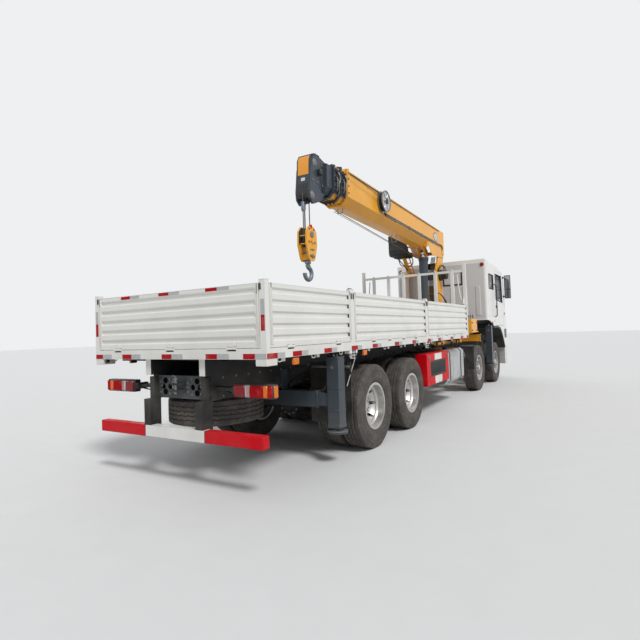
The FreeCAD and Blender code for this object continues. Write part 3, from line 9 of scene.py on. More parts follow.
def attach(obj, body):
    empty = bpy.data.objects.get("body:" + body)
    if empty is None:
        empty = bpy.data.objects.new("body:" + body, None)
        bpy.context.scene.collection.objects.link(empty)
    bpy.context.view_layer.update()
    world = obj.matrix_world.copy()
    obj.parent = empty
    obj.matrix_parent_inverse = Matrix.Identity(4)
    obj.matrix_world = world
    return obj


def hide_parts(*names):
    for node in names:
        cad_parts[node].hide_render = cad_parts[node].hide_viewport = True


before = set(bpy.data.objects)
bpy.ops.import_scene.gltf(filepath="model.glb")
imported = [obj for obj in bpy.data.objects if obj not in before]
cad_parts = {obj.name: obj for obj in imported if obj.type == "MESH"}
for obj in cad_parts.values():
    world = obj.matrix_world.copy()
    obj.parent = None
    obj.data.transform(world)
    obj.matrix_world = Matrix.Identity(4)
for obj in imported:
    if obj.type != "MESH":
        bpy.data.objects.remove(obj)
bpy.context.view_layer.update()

# Places are written in metres from the tailgate: x forward, y to the left, z up.
TAIL = 5.975
SIDES = {"right": -1, "left": 1}


def from_tail(x, y, z):
    return Vector((x - TAIL, y, z))


# Camera, lamps and floor

def stand_camera():
    camera = bpy.data.objects.new("camera", bpy.data.cameras.new("camera"))
    bpy.context.collection.objects.link(camera)
    yaw, pitch, roll = (math.radians(angle) for angle in (31.155, 1.774, -1.903))
    look = Vector((math.cos(yaw) * math.cos(pitch), math.sin(yaw) * math.cos(pitch), math.sin(pitch)))
    across = Vector((math.sin(yaw), -math.cos(yaw), 0))
    upward = across.cross(look)
    right = across * math.cos(roll) + upward * math.sin(roll)
    top = upward * math.cos(roll) - across * math.sin(roll)
    turned = Matrix((right, top, -look)).transposed().to_4x4()
    camera.matrix_world = Matrix.Translation(from_tail(-3.395, -3.881, 1.534)) @ turned
    camera.data.sensor_width = 36
    camera.data.lens = 26.79
    camera.data.shift_y = -3 / 640
    camera.data.clip_end = 200
    bpy.context.scene.camera = camera


def hang_lamp(name, strength, spread, place):
    sun = bpy.data.lights.new(name, "SUN")
    sun.energy = strength
    sun.angle = math.radians(spread)
    lamp = bpy.data.objects.new(name, sun)
    bpy.context.collection.objects.link(lamp)
    lamp.rotation_mode = "QUATERNION"
    lamp.rotation_quaternion = (-Vector(place)).to_track_quat("-Z", "Y")


def light_studio():
    world = bpy.data.worlds.new("studio")
    bpy.context.scene.world = world
    world.use_nodes = True
    tree = world.node_tree
    tree.nodes.clear()
    end = tree.nodes.new("ShaderNodeOutputWorld")
    mixer = tree.nodes.new("ShaderNodeMixShader")
    rays = tree.nodes.new("ShaderNodeLightPath")
    for slot, color, strength in ((1, (0.92, 0.95, 1.0, 1), 0.50), (2, (0.90, 0.915, 0.93, 1), 0.95)):
        sky = tree.nodes.new("ShaderNodeBackground")
        sky.inputs["Color"].default_value = color
        sky.inputs["Strength"].default_value = strength
        tree.links.new(sky.outputs[0], mixer.inputs[slot])
    seen = rays.outputs["Is Camera Ray"]
    for kind in ("Is Glossy Ray", "Is Transmission Ray"):
        either = tree.nodes.new("ShaderNodeMath")
        either.operation = "MAXIMUM"
        tree.links.new(seen, either.inputs[0])
        tree.links.new(rays.outputs[kind], either.inputs[1])
        seen = either.outputs[0]
    tree.links.new(seen, mixer.inputs[0])
    tree.links.new(mixer.outputs[0], end.inputs[0])
    bpy.context.scene.view_settings.view_transform = "Standard"


stand_camera()
light_studio()
hang_lamp("key_lamp", 2.3, 14, (-8, -13, 17))
hang_lamp("side_lamp", 0.45, 60, (12, 14, 9))


# Finishes

class Value:
    """A number that changes over a surface. Arithmetic on it adds Math nodes."""

    def __init__(self, finish, socket):
        self.finish = finish
        self.socket = socket

    def calc(self, operation, *terms):
        return self.finish.node("ShaderNodeMath", {"operation": operation}, dict(enumerate(terms)))

    def __add__(self, other):
        return self.calc("ADD", self, other)

    __radd__ = __add__

    def __sub__(self, other):
        return self.calc("SUBTRACT", self, other)

    def __rsub__(self, other):
        return self.calc("SUBTRACT", other, self)

    def __mul__(self, other):
        return self.calc("MULTIPLY", self, other)

    __rmul__ = __mul__

    def most(self, other):
        return self.calc("MAXIMUM", self, other)

    def between(self, low, high):
        """Zero up to low, one from high, smooth between."""
        return self.finish.node(
            "ShaderNodeMapRange", {"interpolation_type": "SMOOTHSTEP"},
            {"Value": self, "From Min": low, "From Max": high})


class Finish:
    """One surface finish: a base colour with patterns laid over it, its roughness and its relief."""

    def __init__(self, name, color, rough, metal=0.0, coat=0.0):
        self.material = bpy.data.materials.new(name)
        self.material.use_nodes = True
        self.tree = self.material.node_tree
        self.surface = self.tree.nodes["Principled BSDF"]
        self.surface.inputs["Metallic"].default_value = metal
        self.surface.inputs["Coat Weight"].default_value = coat
        self.surface.inputs["Coat Roughness"].default_value = 0.15
        self.place = self.node("ShaderNodeTexCoord", {}, {}, "Object")
        facing = self.node("ShaderNodeNewGeometry", {}, {}, "Normal")
        self.up = self.node("ShaderNodeSeparateXYZ", {}, {0: facing}, "Z")
        self.color = (*color, 1)
        self.rough = rough + 0.10 * self.cloud(9.0, 3) - 0.05
        self.normal = None

    def node(self, kind, settings, values, output=0):
        made = self.tree.nodes.new(kind)
        for name, setting in settings.items():
            setattr(made, name, setting)
        for name, value in values.items():
            if isinstance(value, Value):
                self.tree.links.new(value.socket, made.inputs[name])
            else:
                made.inputs[name].default_value = value
        return Value(self, made.outputs[output])

    def along(self, axis):
        return self.node("ShaderNodeSeparateXYZ", {}, {0: self.place}, axis)

    def cloud(self, scale, detail=4, stretch=(1, 1, 1)):
        where = self.node("ShaderNodeMapping", {}, {"Vector": self.place, "Scale": stretch})
        return self.node("ShaderNodeTexNoise", {}, {"Vector": where, "Scale": scale, "Detail": detail})

    def cells(self, scale):
        return self.node("ShaderNodeTexVoronoi", {}, {"Vector": self.place, "Scale": scale})

    def over(self, color, amount):
        """Lays a colour over what is there, by an amount from 0 to 1."""
        colors = {0: amount, 6: self.color, 7: (*color, 1)}
        self.color = self.node("ShaderNodeMix", {"data_type": "RGBA"}, colors, 2)
        return self

    def matt(self, amount, rough=0.85):
        self.rough = self.rough + (rough - self.rough) * amount
        return self

    def relief(self, height, strength, depth):
        values = {"Strength": strength, "Distance": depth, "Height": height}
        if self.normal:
            values["Normal"] = self.normal
        self.normal = self.node("ShaderNodeBump", {}, values)
        return self

    def done(self):
        self.tree.links.new(self.color.socket, self.surface.inputs["Base Color"])
        self.tree.links.new(self.rough.socket, self.surface.inputs["Roughness"])
        if self.normal:
            self.tree.links.new(self.normal.socket, self.surface.inputs["Normal"])
        return self.material


DUST = (0.36, 0.31, 0.25)
MUD = (0.17, 0.14, 0.11)
SOOT = (0.035, 0.032, 0.030)


def shaded(color, share):
    return tuple(min(1.0, part * share) for part in color)


def paint(name, color, rough=0.36, dust=0.3, coat=0.3, wet=1.1, deep=0.9):
    """Sprayed paint with faint unevenness, rain streaks, road dust low down and on top, small chips."""
    finish = Finish(name, color, rough, coat=coat * 0.5)
    finish.surface.inputs["Specular IOR Level"].default_value = 0.28
    finish.over(shaded(color, deep), finish.cloud(1.7, 5).between(0.42, 0.7) * 0.8)
    finish.over(shaded(color, 1.06), finish.cloud(0.6, 2).between(0.5, 0.75) * 0.5)
    streak = finish.cloud(16.0, 4, (1, 1, 0.07)).between(0.55, 0.74)
    streak = streak * finish.cloud(2.3, 2).between(0.42, 0.62)
    finish.over(shaded(DUST, 0.6), streak * 0.30 * dust)
    low = (wet - finish.along("Z")).between(0.0, 0.75) * finish.cloud(4.0, 5).between(0.30, 0.68)
    flat = finish.up.between(0.55, 0.98) * finish.cloud(5.0, 6).between(0.34, 0.64)
    finish.over(DUST, low.most(flat) * dust)
    finish.matt(low.most(flat) * 0.6)
    chip = finish.cloud(42.0, 3).between(0.735, 0.755) * finish.cloud(3.1, 2).between(0.54, 0.62)
    finish.over(SOOT, chip * 0.5)
    finish.relief(finish.cloud(260.0, 2), 0.05, 0.001)
    return finish.done()


def bare_metal(name, color, rough=0.35, metal=1.0, dust=0.35, brushed=(1, 1, 1)):
    finish = Finish(name, color, rough, metal)
    finish.over(shaded(color, 0.72), finish.cloud(3.0, 5).between(0.40, 0.72))
    finish.over(DUST, finish.cloud(6.5, 6).between(0.50, 0.74) * dust)
    finish.matt(finish.cloud(11.0, 5).between(0.45, 0.72) * 0.5, 0.7)
    finish.relief(finish.cloud(60.0, 3, brushed), 0.12, 0.001)
    return finish.done()


def rubber(name, color=(0.026, 0.025, 0.024), dust=0.5, grain=180.0):
    finish = Finish(name, color, 0.80)
    finish.over(shaded(color, 1.45), finish.cloud(4.0, 5).between(0.35, 0.7))
    finish.over(MUD, finish.cloud(9.0, 6).between(0.44, 0.70) * dust)
    finish.over(DUST, finish.cloud(31.0, 4).between(0.56, 0.72) * dust * 0.6)
    finish.relief(finish.cloud(grain, 3), 0.25, 0.001)
    return finish.done()


def moulding(name, color, rough=0.55, grain=320.0):
    finish = Finish(name, color, rough)
    finish.over(shaded(color, 1.7), finish.cloud(7.0, 5).between(0.45, 0.7) * 0.6)
    finish.over(DUST, finish.up.between(0.4, 0.95) * finish.cloud(8.0, 5).between(0.3, 0.75) * 0.16)
    finish.relief(finish.cloud(grain, 2), 0.15, 0.001)
    return finish.done()


def lens(name, color, rough=0.18, cell=220.0):
    """Lamp glass and reflective tape: small cells under a clear coat."""
    finish = Finish(name, color, rough, coat=0.25)
    finish.surface.inputs["Specular IOR Level"].default_value = 0.25
    cells = finish.cells(cell)
    finish.over(shaded(color, 0.5), cells.between(0.25, 0.7) * 0.6)
    finish.over(DUST, finish.cloud(7.0, 5).between(0.52, 0.74) * 0.25)
    finish.relief(cells, 0.3, 0.001)
    return finish.done()


def mirror_glass(name):
    finish = Finish(name, (0.42, 0.44, 0.46), 0.10, 0.9)
    finish.over(DUST, finish.cloud(5.0, 3).between(0.5, 0.8) * 0.10)
    return finish.done()


def tinted_glass(name):
    finish = Finish(name, (0.030, 0.040, 0.043), 0.08, coat=0.4)
    finish.over((0.10, 0.10, 0.095), finish.cloud(2.2, 4).between(0.4, 0.75) * 0.25)
    finish.over(DUST, finish.cloud(6.0, 6).between(0.56, 0.76) * 0.08)
    finish.surface.inputs["Alpha"].default_value = 0.45
    return finish.done()


CAB_WHITE = paint("cab_white", (0.75, 0.745, 0.715), 0.30, 0.13, 0.4, 1.2, 0.95)
CAB_GREY = paint("cab_rear_grey", (0.55, 0.565, 0.58), 0.40, 0.10, 0.2, 1.2, 0.94)
BED_WHITE = paint("bed_white", (0.73, 0.72, 0.68), 0.38, 0.26, 0.3, 1.75, 0.93)
HINGE_WHITE = paint("hinge_white", (0.66, 0.64, 0.59), 0.48, 0.5, 0.1, 1.9)
BUMPER_WHITE = paint("bumper_white", (0.70, 0.69, 0.66), 0.38, 0.4, 0.2)
FLOOR_GREY = paint("bed_floor_grey", (0.33, 0.33, 0.32), 0.6, 0.8, 0.0, 1.5, 0.8)
CRANE_YELLOW = paint("crane_yellow", (0.83, 0.385, 0.030), 0.34, 0.20, 0.4, 1.4, 0.90)
HEAD_GREY = paint("head_grey", (0.050, 0.062, 0.078), 0.40, 0.15, 0.2, 1.1, 0.8)
LEG_GREY = paint("leg_grey", (0.046, 0.058, 0.070), 0.40, 0.15, 0.25, 0.9, 0.8)
PLATE_GREY = paint("cross_plate_grey", (0.052, 0.062, 0.066), 0.5, 0.25)
BLOCK_GREY = paint("block_grey", (0.17, 0.205, 0.25), 0.42, 0.45, 0.2)
FRAME_BLACK = paint("frame_black", (0.014, 0.015, 0.016), 0.50, 0.14, 0.1, 1.5, 0.8)
GUARD_RED = paint("guard_red", (0.56, 0.002, 0.010), 0.34, 0.07, 0.2)
GUARD_WHITE = paint("guard_white", (0.74, 0.73, 0.70), 0.40, 0.18, 0.2)
BOX_RED = paint("box_red", (0.60, 0.002, 0.008), 0.36, 0.08, 0.2)
MARK_ORANGE = paint("mark_orange", (0.80, 0.33, 0.045), 0.4, 0.15)
PLATE_BLANK = paint("blank_plate", (0.66, 0.66, 0.63), 0.4, 0.3)
AXLE_IRON = bare_metal("axle_iron", (0.034, 0.032, 0.031), 0.65, 0.3, 0.22)
ENGINE_IRON = bare_metal("engine_iron", (0.16, 0.17, 0.17), 0.6, 0.5, 0.6)
RIM_BRIGHT = bare_metal("rim_bright", (0.60, 0.60, 0.59), 0.40, 0.6, 0.5)
RIM_GREY = bare_metal("rim_grey", (0.60, 0.59, 0.57), 0.34, 0.75, 0.45)
NUT_STEEL = bare_metal("wheel_nut", (0.24, 0.235, 0.225), 0.55, 0.8, 0.5)
TANK_ALLOY = bare_metal("tank_alloy", (0.56, 0.57, 0.58), 0.32, 0.9, 0.30, (1, 12, 1))
ROD_CHROME = bare_metal("rod_chrome", (0.72, 0.73, 0.75), 0.16, 1.0, 0.10)
WORN_STEEL = bare_metal("worn_steel", (0.27, 0.27, 0.265), 0.5, 0.85, 0.5)
HOOK_STEEL = bare_metal("hook_steel", (0.22, 0.26, 0.31), 0.48, 0.55, 0.35)
ROPE_STEEL = bare_metal("rope_steel", (0.11, 0.105, 0.10), 0.6, 0.6, 0.4)
MIRROR_SILVER = mirror_glass("mirror_silver")
TYRE_RUBBER = rubber("tyre_rubber", (0.050, 0.045, 0.040), 0.34)
HOSE_RUBBER = rubber("hose_rubber", (0.018, 0.018, 0.019), 0.2, 300.0)
SEAL_RUBBER = rubber("seal_rubber", (0.020, 0.020, 0.020), 0.15, 260.0)
BLACK_MOULDING = moulding("black_moulding", (0.022, 0.022, 0.023))
CAB_TRIM = moulding("cab_trim", (0.085, 0.085, 0.09), 0.7)
SEAT_VINYL = moulding("seat_vinyl", (0.022, 0.022, 0.022), 0.48, 90.0)
TAPE_RED = lens("tape_red", (0.47, 0.002, 0.009), 0.35)
TAPE_GREY = lens("tape_grey", (0.50, 0.51, 0.51), 0.3)
LENS_RED = lens("lens_red", (0.46, 0.004, 0.010))
LENS_DARK = lens("lens_dark", (0.26, 0.003, 0.008))
LENS_AMBER = lens("lens_amber", (0.80, 0.19, 0.006))
LENS_CLEAR = lens("lens_clear", (0.62, 0.63, 0.63))
CAB_GLASS = tinted_glass("cab_glass")
# Painted shade: a flat black that stands for the shade in holes and under hinge lips
PAINTED_SHADE_BLACK = moulding("painted_shade_black", (0.004, 0.004, 0.004), 0.9)

# The painted shade of holes and slots doesn't shine, and saturated reds shine little, so that they keep their
# colour under the pale sky
for look in (PAINTED_SHADE_BLACK, GUARD_RED, BOX_RED, TAPE_RED, LENS_RED):
    surface = look.node_tree.nodes["Principled BSDF"]
    surface.inputs["Specular IOR Level"].default_value = 0.0 if look == PAINTED_SHADE_BLACK else 0.10
    surface.inputs["Coat Weight"].default_value = 0.0

NODE_FINISHES = (
    ("tyre", TYRE_RUBBER), ("rim_1", RIM_BRIGHT), ("rim_2", RIM_BRIGHT), ("rim_3", RIM_GREY),
    ("rim_4", RIM_GREY), ("knuckle", AXLE_IRON), ("axles", AXLE_IRON), ("engine", ENGINE_IRON),
    ("chassis_frame", FRAME_BLACK), ("fuel_tank", TANK_ALLOY), ("battery_box", FRAME_BLACK),
    ("spare_wheel", TYRE_RUBBER), ("load_bed", BED_WHITE), ("gate", BED_WHITE), ("tailgate", BED_WHITE),
    ("cab_shell", CAB_WHITE), ("door", CAB_WHITE), ("cab_glass", CAB_GLASS),
    ("cab_interior", CAB_TRIM), ("front_bumper", BUMPER_WHITE), ("crane_base", CRANE_YELLOW),
    ("column", CRANE_YELLOW), ("boom_base", CRANE_YELLOW), ("boom_second", CRANE_YELLOW),
    ("boom_third", CRANE_YELLOW), ("boom_tip", HEAD_GREY), ("outrigger", LEG_GREY),
    ("jack", WORN_STEEL), ("luff_barrel", LEG_GREY), ("luff_rod", ROD_CHROME),
    ("winch", BLACK_MOULDING), ("operator_seat", SEAT_VINYL),
    ("hook", HOOK_STEEL), ("hook_block", CRANE_YELLOW),
)
for name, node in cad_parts.items():
    finish = [look for start, look in NODE_FINISHES if name.startswith(start)][-1]
    node.data.materials.clear()
    node.data.materials.append(finish)


def paint_part(name, finish, x, y, z):
    """Gives another finish to a node's faces that lie in a box, in metres from the tail."""
    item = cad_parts[name]
    item.data.materials.append(finish)
    for face in item.data.polygons:
        middle = item.matrix_world @ face.center + Vector((TAIL, 0, 0))
        if all(min(ends) <= part <= max(ends) for part, ends in zip(middle, (x, y, z))):
            face.material_index = len(item.data.materials) - 1


def paint_parts():
    bpy.context.view_layer.update()
    paint_part("crane_base", LEG_GREY, (1.20, 1.60), (-1.3, 1.3), (0.30, 1.35))
    # Painted shade: the bearers, runners and underside of the bed floor are made black for the shade under
    # the bed
    paint_part("load_bed", FRAME_BLACK, (0.0605, 7.155), (-1.189, 1.189), (1.05, 1.3412))
    paint_part("hook_block", ROPE_STEEL, (2.50, 2.95), (-0.058, 0.058), (2.80, 3.80))
    # Painted shade: the sheave and the rope round it are made black for the shade inside the block
    paint_part("hook_block", BLACK_MOULDING, (2.58, 2.86), (-0.0505, 0.0505), (2.80, 3.02))
    paint_part("cab_shell", CAB_GREY, (9.40, 9.4195), (-1.15, 1.15), (1.82, 2.61))
    for side in SIDES.values():
        paint_part("battery_box", BOX_RED, (4.3, 5.9), (side * 1.248, side * 1.26), (0.5, 1.1))
        paint_part("cab_shell", BLACK_MOULDING, (11.52, 11.61), (side * 1.237, side * 1.46), (2.33, 3.03))
    paint_part("cab_shell", FRAME_BLACK, (9.43, 11.86), (-1.234, 1.234), (0.85, 1.742))
    paint_part("chassis_frame", PLATE_GREY, (0.14, 0.19), (-0.345, 0.345), (0.86, 1.14))
    paint_part("boom_base", TANK_ALLOY, (4.80, 5.28), (-0.38, -0.2555), (3.70, 4.25))
    paint_part("boom_second", HEAD_GREY, (3.39, 3.53), (-0.3, 0.3), (3.4, 4.4))
    paint_part("boom_third", HEAD_GREY, (3.20, 3.34), (-0.3, 0.3), (3.4, 4.4))


paint_parts()


# Shapes

def repeat_tree():
    """Copies a shape, each copy one step and one turn on from the last, and gives it a finish."""
    tree = bpy.data.node_groups.new("repeat_shape", "GeometryNodeTree")
    for name, kind in (("Geometry", "Geometry"), ("Count", "Int"), ("Step", "Vector"), ("Turn", "Vector"),
                       ("Finish", "Material")):
        tree.interface.new_socket(name, in_out="INPUT", socket_type="NodeSocket" + kind)
    tree.interface.new_socket("Geometry", in_out="OUTPUT", socket_type="NodeSocketGeometry")
    add, link = tree.nodes.new, tree.links.new
    start = add("NodeGroupInput")
    number = add("GeometryNodeInputIndex")
    spots = add("GeometryNodePoints")
    copies = add("GeometryNodeInstanceOnPoints")
    real = add("GeometryNodeRealizeInstances")
    coated = add("GeometryNodeSetMaterial")
    end = add("NodeGroupOutput")
    for name, target in (("Step", spots.inputs["Position"]), ("Turn", copies.inputs["Rotation"])):
        grown = add("ShaderNodeVectorMath")
        grown.operation = "SCALE"
        link(start.outputs[name], grown.inputs[0])
        link(number.outputs[0], grown.inputs["Scale"])
        link(grown.outputs[0], target)
    link(start.outputs["Count"], spots.inputs["Count"])
    link(spots.outputs[0], copies.inputs["Points"])
    link(start.outputs["Geometry"], copies.inputs["Instance"])
    link(copies.outputs[0], real.inputs[0])
    link(real.outputs[0], coated.inputs["Geometry"])
    link(start.outputs["Finish"], coated.inputs["Material"])
    link(coated.outputs[0], end.inputs[0])
    return tree


REPEAT = repeat_tree()
REPEAT_INPUTS = {socket.name: socket.identifier for socket in REPEAT.interface.items_tree
                 if socket.in_out == "INPUT"}


def evaluated(item):
    return bpy.data.meshes.new_from_object(item.evaluated_get(bpy.context.evaluated_depsgraph_get()))


class Piece:
    """Faces that make one piece of the scene. All of them ride on one body."""

    def __init__(self, name="", body=""):
        self.name = name
        self.body = body
        self.mesh = bmesh.new()
        self.finishes = []
        self.side = 1

    def on(self, side):
        """The same piece, drawn from one side: its methods then measure y outward from the middle."""
        half = copy.copy(self)
        half.side = side
        return half

    def both_sides(self):
        return [self.on(side) for side in SIDES.values()]

    def sided(self, point):
        return (point[0], self.side * point[1], point[2])

    def sided_place(self, place):
        return Matrix.Translation((0, (self.side - 1) * place[1][3], 0)) @ place

    def outward(self, axis):
        return "-Y" if axis == "Y" and self.side < 0 else axis

    def number(self, finish):
        if finish not in self.finishes:
            self.finishes.append(finish)
        return self.finishes.index(finish)

    def faces(self, points, loops, finish, soft=0.0, place=None, smooth=True):
        """Adds faces by their corners. Soft chamfers their edges, place turns and moves them."""
        corners = [self.mesh.verts.new(place @ Vector(point) if place else Vector(point)) for point in points]
        made = [self.mesh.faces.new([corners[i] for i in loop]) for loop in loops]
        for face in made:
            face.material_index = self.number(finish)
            face.smooth = smooth
        if soft:
            edges = list(dict.fromkeys(edge for face in made for edge in face.edges))
            bmesh.ops.bevel(self.mesh, geom=edges, offset=soft, segments=1, affect="EDGES", material=-1)
        return self

    def block(self, x, y, z, finish, soft=0.003, place=None):
        x, y, z = sorted(x), sorted(self.side * part for part in y), sorted(z)
        points = [(a, b, c) for a in x for b in y for c in z]
        loops = [(0, 1, 3, 2), (4, 6, 7, 5), (0, 4, 5, 1), (2, 3, 7, 6), (0, 2, 6, 4), (1, 5, 7, 3)]
        return self.faces(points, loops, finish, soft, place and self.sided_place(place))

    def slab(self, plane, corners, low, high, finish, soft=0.002, place=None):
        """A flat outline given a thickness: its plane is XY, XZ or YZ."""
        if plane == "XZ":
            low, high = self.side * low, self.side * high
        corners = [[self.side * part if axis == "Y" else part for axis, part in zip(plane, corner)]
                   for corner in corners]
        low, high = sorted((low, high))
        order = {"XY": (0, 1, 2), "XZ": (0, 2, 1), "YZ": (1, 2, 0)}[plane]
        area = sum(a[0] * b[1] - b[0] * a[1] for a, b in zip(corners, corners[1:] + corners[:1]))
        if (area < 0) != (plane == "XZ"):
            corners = corners[::-1]
        points = []
        for level in (low, high):
            for first, second in corners:
                point = [0.0, 0.0, 0.0]
                for axis, value in zip(order, (first, second, level)):
                    point[axis] = value
                points.append(point)
        count = len(corners)
        loops = [tuple(range(count))[::-1], tuple(range(count, 2 * count))]
        loops += [(i, (i + 1) % count, count + (i + 1) % count, count + i) for i in range(count)]
        return self.faces(points, loops, finish, soft, place and self.sided_place(place))

    def lathe(self, axis, centre, profile, finish, steps=32, ring=False):
        """Turns a profile of (along, radius) about an axis. A ring's profile closes on itself."""
        first, second = {"X": (1, 2), "Y": (2, 0), "Z": (0, 1)}[axis]
        along = "XYZ".index(axis)
        centre = self.sided(centre)
        if axis == "Y":
            profile = [(self.side * offset, radius) for offset, radius in profile]
        points, loops = [], []
        for offset, radius in profile:
            for step in range(steps):
                angle = 2 * math.pi * step / steps
                point = list(centre)
                point[along] += offset
                point[first] += radius * math.cos(angle)
                point[second] += radius * math.sin(angle)
                points.append(point)
        rows = len(profile)
        for row in range(rows if ring else rows - 1):
            for step in range(steps):
                here, there = row * steps, ((row + 1) % rows) * steps
                onward = (step + 1) % steps
                loops.append((here + step, here + onward, there + onward, there + step))
        if ring:
            turn = sum(a[0] * b[1] - b[0] * a[1] for a, b in zip(profile, profile[1:] + profile[:1]))
        else:
            turn = profile[0][0] - profile[-1][0]
            loops.append(tuple(range(steps))[::-1])
            loops.append(tuple(range((rows - 1) * steps, rows * steps)))
        if turn > 0:
            loops = [loop[::-1] for loop in loops]
        return self.faces(points, loops, finish)

    def band(self, axis, centre, ends, radii, finish, steps):
        """A flat ring between two ends and two radii."""
        low, high = ends
        inner, outer = radii
        profile = [(low, inner), (low, outer), (high, outer), (high, inner)]
        return self.lathe(axis, centre, profile, finish, steps, ring=True)

    def rod(self, start, end, radius, finish, steps=12):
        start, end = Vector(self.sided(start)), Vector(self.sided(end))
        reach = (end - start).length
        turn = (end - start).to_track_quat("Z", "Y").to_matrix().to_4x4()
        place = Matrix.Translation(start) @ turn
        soft = min(radius * 0.2, reach * 0.2)
        rings = ((0, radius - soft), (soft, radius), (reach - soft, radius), (reach, radius - soft))
        points = [
            (r * math.cos(2 * math.pi * i / steps), r * math.sin(2 * math.pi * i / steps), z)
            for z, r in rings for i in range(steps)
        ]
        loops = [tuple(range(steps))[::-1], tuple(range(3 * steps, 4 * steps))]
        for row in range(3):
            for i in range(steps):
                j = (i + 1) % steps
                loops.append((row * steps + i, row * steps + j, (row + 1) * steps + j, (row + 1) * steps + i))
        return self.faces(points, loops, finish, place=place)

    def pipe(self, points, radius, finish, round_sides=2):
        """A hose or bent bar along a smooth line."""
        curve = bpy.data.curves.new("pipe", "CURVE")
        curve.dimensions = "3D"
        line = curve.splines.new("NURBS")
        line.points.add(len(points) - 1)
        for spot, point in zip(line.points, points):
            spot.co = (*self.sided(point), 1)
        line.order_u = 3
        line.use_endpoint_u = True
        line.resolution_u = 6
        curve.bevel_depth = radius
        curve.bevel_resolution = round_sides
        curve.use_fill_caps = True
        item = bpy.data.objects.new("pipe", curve)
        bpy.context.collection.objects.link(item)
        return self.join(evaluated(item), finish, item)

    def join(self, mesh, finish, item=None, centre=(0, 0, 0)):
        mesh.transform(Matrix.Translation(centre))
        for face in mesh.polygons:
            face.material_index = self.number(finish)
            face.use_smooth = True
        self.mesh.from_mesh(mesh)
        bpy.data.meshes.remove(mesh)
        if item:
            bpy.data.objects.remove(item)
        return self

    def repeat(self, shape, count, finish, step=(0, 0, 0), turn=(0, 0, 0), centre=(0, 0, 0)):
        """Adds copies of a small shape, which is drawn round the origin, from a centre on."""
        item = shape.plain("shape")
        maker = item.modifiers.new("repeat", "NODES")
        maker.node_group = REPEAT
        values = {"Count": count, "Step": self.sided(step), "Turn": turn, "Finish": finish}
        for name, value in values.items():
            maker[REPEAT_INPUTS[name]] = value
        mesh = evaluated(item)
        item.modifiers.remove(maker)
        return self.join(mesh, finish, item, self.sided(centre))

    def ring_of(self, shape, count, axis, circle, centre):
        """Copies of a small shape on a circle round an axis."""
        spread = (0, circle, 0) if axis == "X" else (circle, 0, 0)
        bmesh.ops.translate(shape.mesh, verts=shape.mesh.verts, vec=spread)
        turn = [2 * math.pi / count * (letter == axis) for letter in "XYZ"]
        return self.repeat(shape, count, NUT_STEEL, turn=turn, centre=centre)

    def bolt_row(self, across, tall, axis, count, step, centre, finish=None):
        bolt = bolt_head(across, tall, self.outward(axis))
        return self.repeat(bolt, count, finish or NUT_STEEL, step=step, centre=centre)

    def bolt(self, across, tall, axis, place):
        return self.take(bolt_head(across, tall, self.outward(axis)), place)

    def take(self, other, place):
        """Adds another piece's faces with their finishes, turned and moved."""
        numbers = [self.number(finish) for finish in other.finishes]
        mesh = bpy.data.meshes.new("part")
        other.mesh.to_mesh(mesh)
        mesh.transform(self.sided_place(place))
        for face in mesh.polygons:
            face.material_index = numbers[face.material_index]
        self.mesh.from_mesh(mesh)
        bpy.data.meshes.remove(mesh)
        return self

    def plain(self, name):
        mesh = bpy.data.meshes.new(name)
        self.mesh.to_mesh(mesh)
        item = bpy.data.objects.new(name, mesh)
        bpy.context.collection.objects.link(item)
        return item

    def done(self, *stands_for):
        """Makes the object at the origin, with its place in its mesh."""
        bmesh.ops.translate(self.mesh, verts=self.mesh.verts, vec=(-TAIL, 0, 0))
        bmesh.ops.recalc_face_normals(self.mesh, faces=self.mesh.faces)
        item = self.plain(self.name)
        for finish in self.finishes:
            item.data.materials.append(finish)
        item.data.set_sharp_from_angle(angle=math.radians(38))
        self.mesh.free()
        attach(item, self.body)
        if stands_for:
            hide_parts(*stands_for)
        return item


def round_outline(count, wide, high):
    angles = [2 * math.pi * number / count for number in range(count)]
    return [(wide * math.cos(angle), high * math.sin(angle)) for angle in angles]


def bolt_head(across, tall, axis="Z"):
    """A hexagon head with its washer, standing on the origin along an axis."""
    shape = Piece()
    quarters, about = {"Z": (0, "X"), "X": (1, "Y"), "-X": (-1, "Y"), "Y": (-1, "X"), "-Y": (1, "X")}[axis]
    turn = Matrix.Rotation(quarters * math.pi / 2, 4, about)
    washer = tall * 0.2
    for radius, sides, low, high in ((across * 0.85, 12, 0, washer), (across * 0.577, 6, washer, tall)):
        shape.slab("XY", round_outline(sides, radius, radius), low, high, NUT_STEEL, 0, turn)
    return shape


# Wheels

TYRE_RADIUS = 0.5425
FRONT_AXLES = (10.430, 8.480)
REAR_AXLES = (3.680, 2.330)
WHEELS = (
    # name, axle from the tailgate, middles of its tyres
    ("1", FRONT_AXLES[0], (1.035,)),
    ("2", FRONT_AXLES[1], (1.035,)),
    ("3", REAR_AXLES[0], (1.100, 0.765)),
    ("4", REAR_AXLES[1], (1.100, 0.765)),
)
# Half of a tyre's section: across from its middle, radius. Its tread has five ribs between four grooves.
SECTION = (
    (0.115, 0.290), (0.115, 0.309), (0.121, 0.313), (0.124, 0.322), (0.129, 0.325), (0.1395, 0.347),
    (0.1455, 0.371), (0.1475, 0.372), (0.1490, 0.385), (0.1500, 0.414), (0.1496, 0.440),
    (0.1470, 0.462), (0.1482, 0.464), (0.1470, 0.480), (0.1445, 0.481), (0.1400, 0.502),
    (0.1355, 0.515), (0.1340, 0.5155), (0.1320, 0.5265), (0.1240, 0.5385), (0.1120, 0.5408),
    (0.0790, 0.5418), (0.0770, 0.5300), (0.0680, 0.5300), (0.0660, 0.5420), (0.0300, 0.5424),
    (0.0280, 0.5300), (0.0190, 0.5300), (0.0170, 0.5425),
)
TREAD_RADIUS = 0.5290


